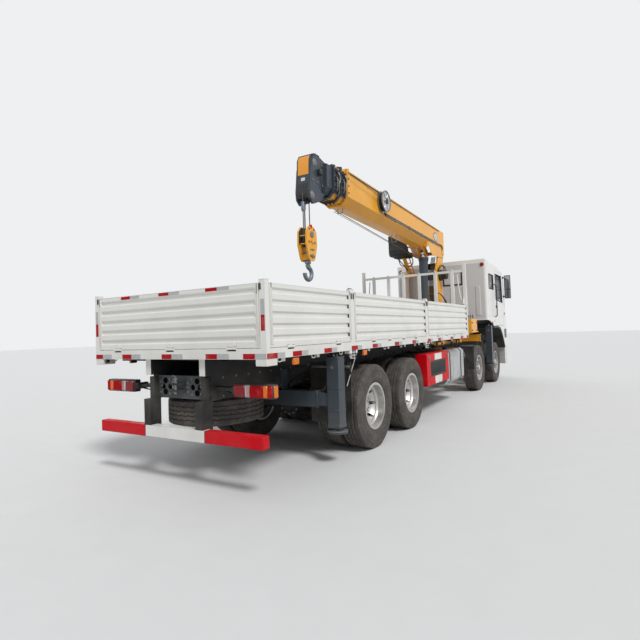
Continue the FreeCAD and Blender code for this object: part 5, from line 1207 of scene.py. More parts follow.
def build_reel():
    """Cable reel: spokes on both flanges and the turns between them."""
    reel = Piece("cable_reel", "boom")
    place = on_boom(3.880, 0, 0.355)
    for y in (-0.256, -0.344):
        spoke = Piece().block((0.060, 0.196), (-0.006, 0.006), (-0.014, 0.014), TANK_ALLOY, 0.003)
        reel.repeat(spoke, 6, TANK_ALLOY, turn=(0, math.pi / 3, 0), centre=(place.x, y, place.z))
        reel.band("Y", (place.x, y, place.z), (-0.009, 0.009), (0.192, 0.206), WORN_STEEL, 56)
    turn = Piece().lathe("Y", (0, 0, 0), [(-0.006, 0.128), (-0.006, 0.176), (0, 0.183), (0.006, 0.176),
                                          (0.006, 0.128)], HOSE_RUBBER, 48)
    reel.repeat(turn, 5, HOSE_RUBBER, step=(0, -0.0135, 0), centre=(place.x, -0.273, place.z))
    reel.lathe("Y", (place.x, -0.360, place.z), [(0, 0.058), (-0.006, 0.056), (-0.012, 0.040),
                                                 (-0.012, 0.001)], BLACK_MOULDING, 28)
    reel.rod(on_boom(4.06, -0.300, 0.40), on_boom(5.22, -0.300, 0.47), 0.005, HOSE_RUBBER, 8)
    reel.done()


# Start height, rise, reach from the wall, radius
FOLDED_HOSES = ((0.07, 0.10, 0.018, 0.013), (0.15, 0.13, 0.030, 0.011), (0.26, -0.04, 0.022, 0.015),
                (0.30, 0.12, 0.034, 0.010), (0.40, -0.07, 0.020, 0.013), (0.45, -0.02, 0.030, 0.010))
# Place from the collar's end, start height, bend, radius
FOLDED_CABLES = ((0.130, 0.05, 0.060, 0.008), (0.085, 0.17, -0.040, 0.010), (0.060, 0.08, 0.030, 0.007))


def fold_hoses(half, end, wide):
    """Hoses and cables folded against the guard plate beside a section, and what clamps them."""
    for start, rise, out, radius in FOLDED_HOSES:
        bends = ((0.150, -0.010, 0), (0.128, out, 0.2), (0.080, out, 0.6), (0.040, out, 1),
                 (0.022, -0.010, 1.05))
        half.pipe([on_boom(end - back, wide + stand, start + rise * share) for back, stand, share in bends],
                  radius, HOSE_RUBBER, 1)
    for u, w, bend, radius in FOLDED_CABLES:
        bends = ((0, -0.010, 0), (0.4, 0.045, 0.05), (1, 0.045, 0.14), (0.3, 0.045, 0.23),
                 (0.6, -0.010, 0.27))
        half.pipe([on_boom(end - u + bend * share, wide + stand, w + rise) for share, stand, rise in bends],
                  radius, WORN_STEEL, 1)
    for w in (0.11, 0.31, 0.45):
        half.block((-0.022, 0.022), (-0.016, 0.016), (-0.026, 0.026), BLACK_MOULDING, 0.005,
                   boom_place(end - 0.062, wide + 0.010, w))
        half.rod(on_boom(end - 0.118, wide, w - 0.03), on_boom(end - 0.118, wide + 0.030, w - 0.03),
                 0.012, WORN_STEEL)


def build_nested_fittings():
    for body, end, inset in (("boom_second", 5.490, 0.020), ("boom_third", 5.680, 0.040)):
        piece = Piece(body + "_fittings", body)
        wide = 0.254 - inset
        top = 0.550 - inset
        for half in piece.both_sides():
            for w in (0.20, 0.34, 0.46):
                half.bolt(0.018, 0.010, "Y", boom_place(end - 0.025, wide, w))
            plug = on_boom(end - 0.025, wide - 0.001, 0.27)
            half.lathe("Y", plug, [(0, 0.014), (0.010, 0.012), (0.012, 0.001)], BLACK_MOULDING, 14)
        for y in (-0.10, 0.10):
            piece.bolt(0.018, 0.010, "Z", boom_place(end - 0.025, y, top + 0.014))
        # Guard plates beside and over the section
        for half in piece.both_sides():
            half.block((-0.060, 0.066), (-0.003, 0.003), (-0.235, 0.205), HEAD_GREY, 0.001,
                       boom_place(end - 0.105, wide - 0.0095, 0.275))
            fold_hoses(half, end, wide)
        piece.block((-0.060, 0.066), (-0.150, 0.150), (-0.003, 0.003), HEAD_GREY, 0.001,
                    boom_place(end - 0.105, 0, top + 0.004))
        for number in range(6):
            y = 0.060 * number - 0.150
            drift = 0.022 * (1 - 2 * (number % 2))
            bends = ((0.150, 0, 0.004), (0.125, 0.3, 0.040), (0.080, 0.7, 0.052 - 0.008 * (number % 3)),
                     (0.040, 1, 0.036), (0.020, 1, 0.002))
            piece.pipe([on_boom(end - back, y + drift * share, top + rise) for back, share, rise in bends],
                       0.0115, HOSE_RUBBER, 1)
        piece.block((-0.020, 0.020), (-0.14, 0.14), (-0.012, 0.014), WORN_STEEL, 0.004,
                    boom_place(end - 0.085, 0, top + 0.005))
        for y in (-0.07, 0.0, 0.07):
            piece.rod(on_boom(end - 0.060, y, -0.035), on_boom(end + 0.060, y, -0.035), 0.012, BLACK_MOULDING)
        piece.done()


LOWER_SHEAVE = (6.200, -0.100)
UPPER_SHEAVE = (6.130, 0.430)
HEAD_RIM = ((5.82, 0.515), (5.82, 0.045), (5.93, -0.105), (6.11, -0.195), (6.19, -0.228), (6.27, -0.165),
            (6.285, -0.06), (6.250, 0.295), (6.170, 0.530), (6.085, 0.572))
HEAD_COVER = ((6.2830, -0.030), (6.262, 0.20), (6.253, 0.45), (6.205, 0.536), (6.120, 0.573), (5.98, 0.577))
CHEEK_EDGE = ((5.98, 0.560), (6.080, 0.560), (6.160, 0.520), (6.240, 0.290), (6.272, -0.030))
# Above this height the sheets on the head's end turn level, and get their thickness upward too
HEAD_BEND = 4.17
# Outline, half width, height over the cheeks' edge, finish: cover, painted patch, flap whose lower part is
# painted shade over the lower sheave, and blank plate
HEAD_SHEETS = (
    (HEAD_COVER, 0.1185, 0.004, HEAD_GREY),
    (((6.2608, 0.215), (6.253, 0.45), (6.222, 0.508)), 0.096, 0.0058, MARK_ORANGE),
    (((6.2700, -0.150), (6.2845, -0.060), (6.2830, -0.030), (6.2735, 0.075)), 0.100, 0.0070, BLACK_MOULDING),
    (((6.2692, 0.120), (6.2646, 0.170)), 0.036, 0.0062, PLATE_BLANK),
)


def build_head_fittings():
    head = Piece("head_fittings", "boom_tip")
    for half in head.both_sides():
        for u, w in (LOWER_SHEAVE, UPPER_SHEAVE):
            half.lathe("Y", on_boom(u, 0.1195, w), [
                (0, 0.065), (0.006, 0.063), (0.012, 0.045), (0.020, 0.035), (0.020, 0.001)], NUT_STEEL, 28)
            half.ring_of(bolt_head(0.014, 0.008, half.outward("Y")), 4, "Y", 0.052, on_boom(u, 0.125, w))
        for (u1, w1), (u2, w2) in zip(HEAD_RIM, HEAD_RIM[1:]):
            half.rod(on_boom(u1, 0.123, w1), on_boom(u2, 0.123, w2), 0.009, HEAD_GREY, 8)
        for u, w in ((5.90, 0.44), (5.90, 0.12), (6.05, 0.14), (6.18, 0.14)):
            half.bolt(0.026, 0.014, "Y", boom_place(u, 0.120, w))
    for u, w in ((6.03, 0.27), (6.02, -0.02), (6.20, 0.10)):
        head.rod(on_boom(u, -0.112, w), on_boom(u, 0.112, w), 0.016, WORN_STEEL, 14)
    # Bent sheets close the head's end above the lower sheave
    places = [on_boom(u, 0, w) for u, w in HEAD_COVER + CHEEK_EDGE]
    for side in SIDES.values():
        head.on(side).slab("XZ", [(place.x, place.z) for place in places], 0.1015, 0.1185, HEAD_GREY, 0)
    for outline, wide, rise, finish in HEAD_SHEETS:
        places = [on_boom(u, 0, w) for u, w in outline]
        corners = [(p.x - rise, p.z + rise * (p.z > HEAD_BEND)) for p in places]
        corners += [(p.x + 0.008, p.z - 0.008 * (p.z > HEAD_BEND)) for p in reversed(places)]
        head.slab("XZ", corners, -wide, wide, finish, 0)
    # Sheave flanges: the lower sheave's are black as painted shade, the upper sheave's are steel
    for (u, w), radius, finish in ((LOWER_SHEAVE, 0.080, BLACK_MOULDING), (UPPER_SHEAVE, 0.100, WORN_STEEL)):
        for places, thick, low, high in (((-0.044, -0.0145, 0.0145, 0.044), 0.003, 0.012, 0.011),
                                         ((-0.029, 0.0, 0.029), 0.0125, 0.004, 0.0005)):
            for y in places:
                head.band("Y", on_boom(u, y, w), (-thick, thick), (radius - low, radius + high), finish, 40)
    # Limit switch with its lead, hoses and a lifting lug
    head.block((-0.04, 0.04), (-0.030, 0.030), (-0.045, 0.045), BLACK_MOULDING, 0.008,
               boom_place(6.02, -0.155, 0.30))
    head.pipe(boom_line((6.02, -0.155, 0.255), (6.02, -0.155, 0.20), (5.96, -0.145, 0.10),
                        (5.90, -0.130, 0.02), (5.86, -0.10, -0.01)), 0.006, HOSE_RUBBER)
    for y in (-0.080, 0.080):
        head.pipe(boom_line((5.86, y, 0.47), (5.93, y, 0.52), (6.0, y, 0.50), (6.05, y, 0.42)),
                  0.010, HOSE_RUBBER)
    head.slab("XZ", [(-0.05, 0), (0.05, 0), (0.03, 0.07), (-0.03, 0.07)], -0.012, 0.012, HEAD_GREY, 0.004,
              boom_place(5.95, 0.0, 0.495))
    head.done()


build_base_fittings()
build_outrigger_fittings()
build_column_fittings()
build_winch_fittings()
build_hoist_rope()
build_boom_fittings()
build_reel()
build_nested_fittings()
build_head_fittings()


# Hook block and hook

BLOCK_X = 2.7203
BLOCK_Z = 3.6164


def on_block(x, y, z):
    """A place on the hook block, from the middle of its sheave line."""
    return (BLOCK_X + x, y, BLOCK_Z + z)


def build_block_fittings():
    block = Piece("hook_block_fittings", "hook_block")
    for half in block.both_sides():
        half.lathe("Y", on_block(0, 0.085, -0.60),
                   [(0, 0.048), (0.010, 0.048), (0.014, 0.040), (0.014, 0.001)], NUT_STEEL, 28)
        for x, z in ((0.068, -0.52), (0.08, -0.72), (0.048, -0.93)):
            for end in (-x, x):
                half.bolt(0.022, 0.012, "Y", Matrix.Translation(on_block(end, 0.085, z)))
        half.lathe("Y", on_block(0, 0.085, -0.93),
                   [(0, 0.030), (0.012, 0.030), (0.016, 0.022), (0.016, 0.001)], NUT_STEEL, 24)
        half.rod(on_block(-0.05, 0.090, -0.83), on_block(0.05, 0.090, -0.83), 0.009, WORN_STEEL)
        # Painted shade on the inside of the cheek, beside the sheave
        half.slab("XZ", [(-0.066, -0.486), (0.066, -0.486), (0.134, -0.563), (0.143, -0.755),
                         (-0.143, -0.755), (-0.134, -0.563)], 0.0586, 0.0598, BLACK_MOULDING, 0,
                  Matrix.Translation(on_block(0, 0, 0)))
    # Red grease cap on the right cheek's top edge
    block.lathe("Z", on_block(-0.010, -0.074, -0.478), [
        (-0.020, 0.026), (0.018, 0.026), (0.026, 0.018), (0.028, 0.001)], GUARD_RED, 24)
    block.done()


def build_hook_fittings():
    hook = Piece("hook_fittings", "hook")
    hook.lathe("Z", on_block(0, 0, -1.065), [(-0.020, 0.034), (-0.014, 0.040), (0.004, 0.040),
                                             (0.010, 0.034)], NUT_STEEL, 6)
    hook.slab("XZ", [(-0.030, -1.118), (-0.012, -1.108), (0.070, -1.150), (0.074, -1.162)], -0.012, 0.012,
              WORN_STEEL, 0.002, Matrix.Translation(on_block(0, 0, 0)))
    hook.done()


def build_falls():
    """Both falls of the rope, each of six strands, with the bars, the socket and its end in the block."""
    rope = Piece("hook_falls", "hook_block")
    lay = 0.075
    for fall in (-0.088, 0.088):
        strands = Piece()
        for start in range(6):
            angles = [math.pi / 3 * (start + step) for step in range(int(6 * 0.50 / lay))]
            strands.pipe([(0.0062 * math.cos(angle), 0.0062 * math.sin(angle), -0.02 - step * lay / 6)
                          for step, angle in enumerate(angles)], 0.0026, ROPE_STEEL, 0)
        rope.take(strands, Matrix.Translation(on_block(fall, 0, 0)))
    for z in (-0.622, -0.745):
        rope.rod(on_block(-0.098, -0.062, z), on_block(-0.098, 0.062, z), 0.011, CRANE_YELLOW, 14)
    rope.rod(on_block(-0.045, 0.0, -0.20), on_block(-0.045, 0.0, -0.58), 0.010, ROPE_STEEL)
    rope.block((BLOCK_X - 0.065, BLOCK_X - 0.025), (-0.016, 0.016), (BLOCK_Z - 0.14, BLOCK_Z - 0.22),
               HOOK_STEEL, 0.006)
    rope.slab("XZ", [(-0.020, -0.02), (0.020, -0.02), (0.030, -0.13), (0.010, -0.17), (-0.010, -0.17),
                     (-0.026, -0.13)], -0.022, 0.022, HOOK_STEEL, 0.005,
              Matrix.Translation(on_block(-0.088, 0, -0.08)))
    rope.done()


# Chassis: tanks, boxes, pipes, springs

TANK_OUTLINE = [(0.520, 0.500), (0.570, 0.450), (1.140, 0.450), (1.200, 0.510), (1.200, 1.040),
                (1.140, 1.100), (0.570, 1.100), (0.520, 1.050)]


def strap(tank, x):
    """A flat band round a tank's outline, with a bolt on top."""
    for start, end in zip(map(Vector, TANK_OUTLINE), map(Vector, TANK_OUTLINE[1:])):
        out = (start - end).orthogonal().normalized() * 0.004
        tank.slab("YZ", [start - out * 0.3, end - out * 0.3, end + out, start + out], x - 0.028, x + 0.028,
                  BLACK_MOULDING, 0)
    tank.rod((x, 0.62, 1.095), (x, 0.62, 1.130), 0.010, NUT_STEEL)


def build_tank_fittings():
    tanks = Piece("tank_fittings", "truck")
    for side, start, end in ((-1, 5.660, 6.900), (1, 5.900, 6.900)):
        half = tanks.on(side)
        for x in (start + 0.23, end - 0.23):
            strap(half, x)
        for x, sign in ((start, -1), (end, 1)):
            half.slab("YZ", [(0.56, 0.51), (0.60, 0.475), (1.12, 0.475), (1.165, 0.53), (1.165, 1.02),
                             (1.12, 1.075), (0.60, 1.075), (0.56, 1.03)], x, x + sign * 0.008,
                      TANK_ALLOY, 0.006)
        half.lathe("Z", (start + 0.42, 1.06, 1.098), [
            (0, 0.052), (0.016, 0.052), (0.018, 0.058), (0.042, 0.056), (0.048, 0.048), (0.050, 0.001)],
            BLACK_MOULDING, 28)
        for number in range(3):
            x = start + 0.50 + 0.08 * number
            half.rod((x, 0.80, 1.095), (x, 0.80, 1.125), 0.016, NUT_STEEL)
            half.pipe([(x, 0.80, 1.12), (x, 0.80, 1.16), (x + 0.05, 0.68, 1.17), (x + 0.12, 0.52, 1.14),
                        (x + 0.16, 0.44, 1.05)], 0.009, HOSE_RUBBER, 1)
        half.rod((start + 0.10, 0.86, 0.452), (start + 0.10, 0.86, 0.436), 0.016, NUT_STEEL)
    for y in (-0.640, -0.930):
        for x in (7.185, 7.495):
            tanks.band("X", (x, y, 0.890), (-0.016, 0.016), (0.131, 0.1335), BLACK_MOULDING, 40)
        tanks.rod((7.34, y, 0.765), (7.34, y, 0.742), 0.012, WORN_STEEL)
        tanks.pipe([(7.665, y, 0.89), (7.71, y, 0.89), (7.72, y + 0.06, 0.93), (7.70, -0.46, 1.0)], 0.007,
                   HOSE_RUBBER, 1)
    tanks.done()


def build_box_fittings():
    box = Piece("box_fittings", "truck")
    for side, start, end in ((-1, 4.370, 5.620), (1, 4.700, 5.800)):
        half = box.on(side)
        # A dark slotted window, white panels over and under it, seams and locks
        low, high = start + 0.190, end - 0.170
        half.block((low, high), (1.2435, 1.2465), (0.700, 0.970), BLACK_MOULDING, 0.002)
        slot = Piece().block((-0.006, 0.006), (-0.003, 0.003), (-0.105, 0.105), BLACK_MOULDING, 0.002)
        count = int((high - low - 0.08) / 0.035)
        half.repeat(slot, count, BLACK_MOULDING, step=(0.035, 0, 0), centre=(low + 0.05, 1.2475, 0.835))
        middle = (start + end) / 2
        for z1, z2 in ((0.565, 0.694), (0.976, 1.085)):
            half.block((middle - 0.20, middle + 0.20), (1.249, 1.2515), (z1, z2), GUARD_WHITE, 0.001)
        for x in (start + 0.006, end - 0.006):
            half.block((x - 0.008, x + 0.008), (1.05, 1.2515), (0.557, 1.094), BOX_RED, 0.002)
        half.block((start, end), (1.05, 1.2515), (1.088, 1.097), BOX_RED, 0.003)
        for x in (start + 0.12, end - 0.10):
            half.block((x - 0.020, x + 0.020), (1.2495, 1.262), (0.985, 1.055), WORN_STEEL, 0.004)
        for z in (0.585, 1.060):
            half.bolt_row(0.014, 0.006, "Y", 7, ((end - start - 0.12) / 6, 0, 0), (start + 0.06, 1.250, z))
    box.done()


def add_leaves(half, middle, y, thick, leaves, drop, reach, shorter):
    """Leaf spring: each leaf is shorter than the one before it."""
    for number in range(leaves):
        length = reach - shorter * number
        z = middle[1] + drop * number
        half.block((middle[0] - length, middle[0] + length), y, (z - thick, z + thick), AXLE_IRON, 0.002)


def add_front_spring(half, axle):
    add_leaves(half, (axle, 0.612), (0.346, 0.434), 0.0065, 5, -0.016, 0.66, 0.11)
    for x in (axle - 0.11, axle + 0.11):
        for y in (0.340, 0.440):
            half.rod((x, y, 0.480), (x, y, 0.665), 0.011, AXLE_IRON)
        half.block((x - 0.018, x + 0.018), (0.330, 0.450), (0.655, 0.672), AXLE_IRON)
        half.block((x - 0.018, x + 0.018), (0.330, 0.450), (0.482, 0.498), AXLE_IRON)
    # Damper beside it
    half.lathe("Z", (axle + 0.26, 0.475, 0.60), [(0, 0.001), (0, 0.030), (0.16, 0.030), (0.16, 0.038),
                                                 (0.36, 0.038), (0.37, 0.001)], FRAME_BLACK, 18)
    half.block((axle + 0.22, axle + 0.30), (0.430, 0.50), (0.955, 0.985), FRAME_BLACK)


def add_rear_spring(half):
    middle = sum(REAR_AXLES) / 2
    add_leaves(half, (middle, 0.663), (0.436, 0.534), 0.0085, 6, 0.020, 0.60, 0.075)
    for x in (middle - 0.085, middle + 0.085):
        for y in (0.428, 0.542):
            half.rod((x, y, 0.52), (x, y, 0.815), 0.014, AXLE_IRON)
        half.block((x - 0.025, x + 0.025), (0.418, 0.552), (0.795, 0.815), AXLE_IRON)


def add_brake_chamber(half, axle, sign):
    profile = ((0, 0.040), (0.012, 0.078), (0.075, 0.080), (0.080, 0.086), (0.092, 0.086), (0.097, 0.080),
               (0.155, 0.078), (0.170, 0.050), (0.170, 0.001))
    half.lathe("X", (axle + sign * 0.16, 0.585, 0.62), [(sign * along, radius) for along, radius in profile],
               FRAME_BLACK, 28)
    half.block((axle + sign * 0.03, axle + sign * 0.165), (0.555, 0.615), (0.592, 0.648), AXLE_IRON)
    hose = ((0.27, 0.585, 0.695), (0.27, 0.585, 0.76), (0.22, 0.52, 0.84), (0.20, 0.445, 0.88))
    half.pipe([(axle + sign * x, y, z) for x, y, z in hose], 0.008, HOSE_RUBBER, 1)


def build_frame_fittings():
    fittings = Piece("frame_fittings", "truck")
    for half in fittings.both_sides():
        for level in (0.905, 1.095):
            half.bolt_row(0.018, 0.009, "Y", 54, (0.205, 0, 0), (0.32, 0.430, level))
        for axle in FRONT_AXLES:
            add_front_spring(half, axle)
        add_rear_spring(half)
        for axle, sign in zip(REAR_AXLES, (1, -1)):
            add_brake_chamber(half, axle, sign)
        # Air and electric lines along the inside of the rails
        for number in range(4):
            z = 0.93 + 0.024 * number
            half.pipe([(0.22, 0.408, z), (3.0, 0.408, z + 0.01), (7.0, 0.408, z), (9.8, 0.408, z)], 0.008,
                      HOSE_RUBBER, 0)
        # Bolted plates of the flaps, and the flaps' ridges
        for x, low, high in ((7.770, 0.90, 1.20), (1.685, 0.66, 1.20)):
            half.block((x - 0.006, x + 0.001), (low, high), (1.085, 1.115), WORN_STEEL)
            step = (0, (high - low - 0.08) / 3, 0)
            half.bolt_row(0.018, 0.008, "-X", 4, step, (x - 0.006, low + 0.04, 1.10))
            ridge = Piece().block((-0.004, 0.001), (-0.004, 0.004), (-0.26, 0.26), SEAL_RUBBER, 0.002)
            half.repeat(ridge, 6, SEAL_RUBBER, step=(0, (high - low) / 6, 0), centre=(x, low + 0.03, 0.80))
    # Joint crosses of the propeller shaft, covers on the rear axles
    for x in (3.98, 6.20, 8.10, 9.70):
        fittings.lathe("X", (x, 0, 0.620), [(-0.045, 0.056), (-0.045, 0.085), (-0.030, 0.092), (0.030, 0.092),
                                            (0.045, 0.085), (0.045, 0.056)], AXLE_IRON, 28, ring=True)
    for axle in REAR_AXLES:
        fittings.lathe("X", (axle - 0.205, 0, TYRE_RADIUS), [
            (0, 0.155), (-0.012, 0.155), (-0.020, 0.120), (-0.050, 0.090), (-0.060, 0.001)], AXLE_IRON, 40)
        fittings.ring_of(bolt_head(0.020, 0.010, "-X"), 12, "X", 0.140, (axle - 0.217, 0, TYRE_RADIUS))
    fittings.done()


# Cab

CAB_WALL = 1.235
ARCH = ((9.80, 1.622), (10.00, 1.494), (10.57, 1.494), (10.90, 1.444), (11.18, 1.254), (11.48, 0.905))


def seal_round(half, corners, wide):
    """A rubber seal along the inner edge of an opening in a side wall."""
    middle = Vector([sum(parts) / len(corners) for parts in zip(*corners)])
    for ends in zip(corners, corners[1:] + corners[:1]):
        inner = [end + (middle - end).normalized() * wide for end in map(Vector, reversed(ends))]
        half.slab("XZ", [*ends, *inner], CAB_WALL - 0.012, CAB_WALL + 0.008, SEAL_RUBBER, 0)


def add_arch_lip(half):
    for (x1, z1), (x2, z2) in zip(ARCH, ARCH[1:]):
        slope = math.atan2(z2 - z1, x2 - x1)
        place = Matrix.Translation(((x1 + x2) / 2, 0, (z1 + z2) / 2)) @ Matrix.Rotation(-slope, 4, "Y")
        reach = math.hypot(x2 - x1, z2 - z1) / 2 + 0.008
        half.block((-reach, reach), (1.19, 1.246), (-0.012, 0.045), BLACK_MOULDING, 0.006, place)


def add_mirror(half):
    """The glasses on the mirror's back, the bar between them, and the joints of its arms."""
    for z in ((2.62, 3.00), (2.36, 2.60)):
        half.block((11.5255, 11.5310), (1.300, 1.442), z, MIRROR_SILVER, 0.002)
    half.block((11.5240, 11.5320), (1.288, 1.452), (2.602, 2.618), BLACK_MOULDING, 0.002)
    for z in (2.960, 2.400):
        half.rod((11.56, 1.232, z), (11.56, 1.262, z), 0.032, BLACK_MOULDING, 16)


def build_cab_outside():
    cab = Piece("cab_fittings", "truck")
    for side in SIDES.values():
        half = cab.on(side)
        seal_round(half, [(9.600, 2.520), (10.180, 2.520), (10.180, 2.925), (9.600, 2.925)], 0.035)
        add_arch_lip(half)
        # Creases of the side, step plates, grab rail behind the door, side lamps
        for z in (2.225, 1.795):
            half.block((9.46, 10.33), (1.2345, 1.2395), (z, z + 0.020), CAB_WHITE, 0.002)
        for z in (1.195, 1.300):
            half.block((11.515, 11.845), (1.206, 1.236), (z, z + 0.018), WORN_STEEL, 0.003)
        tread = Piece().block((-0.004, 0.004), (-0.012, 0.012), (0, 0.004), WORN_STEEL, 0.001)
        half.repeat(tread, 16, WORN_STEEL, step=(0.019, 0, 0), centre=(11.535, 1.221, 1.213))
        rail = ((CAB_WALL, 1.78), (1.285, 1.80), (1.290, 1.90), (1.290, 2.55), (1.285, 2.66),
                (CAB_WALL, 2.68))
        half.pipe([(10.285, y, z) for y, z in rail], 0.014, BLACK_MOULDING)
        half.block((11.56, 11.66), (CAB_WALL, 1.252), (1.86, 1.93), LENS_AMBER, 0.008)
        for x in (9.62, 10.18):
            half.block((x - 0.03, x + 0.03), (CAB_WALL, 1.245), (1.655, 1.680), LENS_AMBER, 0.005)
        add_mirror(half)
        # Lamps at the upper rear corners, seals of the rear windows, roof lamps, bolts and rail
        half.lathe("X", (9.421, 1.120, 3.155), [(0, 0.050), (-0.012, 0.050), (-0.016, 0.042),
                                                (-0.016, 0.001)], BLACK_MOULDING, 24)
        half.lathe("X", (9.407, 1.120, 3.155), [(0, 0.040), (-0.010, 0.038), (-0.016, 0.025),
                                                (-0.018, 0.001)], LENS_RED, 24)
        for y, z in (((0.080, 0.120), (2.65, 3.05)), ((0.565, 0.605), (2.65, 3.05)),
                     ((0.100, 0.585), (2.65, 2.69)), ((0.100, 0.585), (3.01, 3.05))):
            half.block((9.409, 9.432), y, z, SEAL_RUBBER, 0.003)
        half.block((11.46, 11.53), (0.86, 1.00), (3.135, 3.158), LENS_AMBER, 0.008)
        for z in (1.92, 2.35):
            half.bolt_row(0.014, 0.006, "-X", 5, (0, 0.21, 0), (9.420, 0.16, z), CAB_GREY)
        half.pipe([(11.90, 0.98, 1.80), (11.925, 0.98, 1.83), (11.925, 0.70, 1.83), (11.90, 0.70, 1.80)],
                 0.012, BLACK_MOULDING)
    cab.block((9.418, 9.424), (-1.16, 1.16), (1.74, 3.20), CAB_GREY, 0.001)
    # Roof hatch, sun visor, wipers
    cab.slab("XZ", [(10.00, 3.268), (10.00, 3.300), (10.55, 3.276), (10.62, 3.250)], -0.36, 0.36,
             CAB_WHITE, 0.010)
    cab.slab("XZ", [(11.52, 3.135), (11.60, 3.140), (11.800, 2.945), (11.790, 2.925), (11.66, 3.00),
                    (11.52, 3.10)], -1.02, 1.02, BLACK_MOULDING, 0.006)
    for y in (-1.02, -0.33, 0.36):
        foot = Vector((11.868, y, 2.085))
        tip = Vector((11.776, y + 0.44, 2.48))
        cab.rod(foot + Vector((-0.02, 0, 0)), foot + Vector((0.018, 0, 0.004)), 0.022, BLACK_MOULDING)
        cab.rod(foot + Vector((0.012, 0, 0.0)), tip + Vector((0.020, 0, 0)), 0.008, BLACK_MOULDING)
        cab.rod(tip + Vector((0.062, -0.30, -0.24)), tip + Vector((-0.004, 0.18, 0.14)), 0.009, SEAL_RUBBER)
    cab.done()


def build_grille():
    grille = Piece("grille", "truck")
    for number in range(4):
        z = 1.295 + 0.110 * number
        grille.block((11.886, 11.893), (-0.815, 0.815), (z, z + 0.050), BLACK_MOULDING, 0.001)
        slat = Piece().block((0, 0.012), (-0.003, 0.003), (0, 0.048), BLACK_MOULDING, 0.001)
        grille.repeat(slat, 40, BLACK_MOULDING, step=(0, 0.040, 0), centre=(11.892, -0.78, z))
    grille.block((11.918, 11.927), (-0.86, 0.86), (1.715, 1.735), WORN_STEEL, 0.003)
    grille.block((11.918, 11.927), (-0.86, 0.86), (1.250, 1.270), WORN_STEEL, 0.003)
    for half in grille.both_sides():
        half.lathe("X", (11.880, 0.975, 0.705), [(0, 0.078), (0.030, 0.078), (0.038, 0.070), (0.042, 0.001)],
                   LENS_CLEAR, 32)
        half.lathe("X", (11.880, 0.815, 0.705), [(0, 0.066), (0.028, 0.066), (0.036, 0.058), (0.040, 0.001)],
                   LENS_CLEAR, 32)
        half.block((11.872, 11.882), (0.732, 1.068), (0.622, 0.788), BLACK_MOULDING, 0.002)
        half.block((11.80, 11.925), (1.075, 1.155), (0.66, 0.76), LENS_AMBER, 0.008)
        for y in (0.70, 0.35):
            half.bolt(0.022, 0.006, "X", Matrix.Translation((11.944, y, 0.50)))
        half.band("X", (11.949, 0.560, 0.560), (-0.010, 0.0), (0.030, 0.040), BLACK_MOULDING, 28)
    grille.block((11.942, 11.9495), (-0.24, 0.24), (0.585, 0.705), PLATE_BLANK, 0.002)
    grille.block((11.60, 11.93), (-1.18, 1.18), (0.892, 0.925), BLACK_MOULDING, 0.006)
    grille.done()


DOOR_WINDOW = [(10.430, 2.260), (11.370, 2.200), (11.290, 2.985), (10.430, 2.985)]


def build_door(side_name, side):
    door = Piece("door_fittings_" + side_name, "door_" + side_name).on(side)
    seal_round(door, DOOR_WINDOW, 0.030)
    pane = [(10.445, 2.275), (11.352, 2.217), (11.278, 2.970), (10.445, 2.970)]
    door.slab("XZ", pane, 1.212, 1.217, CAB_GLASS, 0)
    for z in (1.80, 1.98, 2.16):
        door.block((10.37, 11.41), (1.2342, 1.2385), (z, z + 0.012), CAB_WHITE, 0.0015)
    # Handle in its dark recess, lock
    door.block((10.400, 10.602), (1.2130, 1.2150), (2.032, 2.108), BLACK_MOULDING, 0.001)
    door.block((10.405, 10.600), (1.2255, 1.2375), (2.055, 2.085), BLACK_MOULDING, 0.004)
    door.lathe("Y", (10.66, CAB_WALL, 2.07), [(0, 0.016), (0.003, 0.016), (0.004, 0.001)], WORN_STEEL, 18)
    # Inner panel, arm rest and grab bar
    door.slab("XZ", [(10.42, 1.60), (11.38, 1.60), (11.38, 2.18), (10.42, 2.22)], 1.193, 1.186,
              CAB_TRIM, 0.002)
    door.block((10.60, 11.10), (1.190, 1.130), (1.96, 2.00), CAB_TRIM, 0.008)
    door.pipe([(11.20, 1.186, 2.02), (11.20, 1.150, 2.05), (11.20, 1.150, 2.30), (11.20, 1.190, 2.36)], 0.010,
              BLACK_MOULDING)
    door.done()


build_block_fittings()
build_hook_fittings()
build_falls()
build_tank_fittings()
build_box_fittings()
build_frame_fittings()
build_cab_outside()
build_grille()
for side_name, side in SIDES.items():
    build_door(side_name, side)


# Seats and cab interior

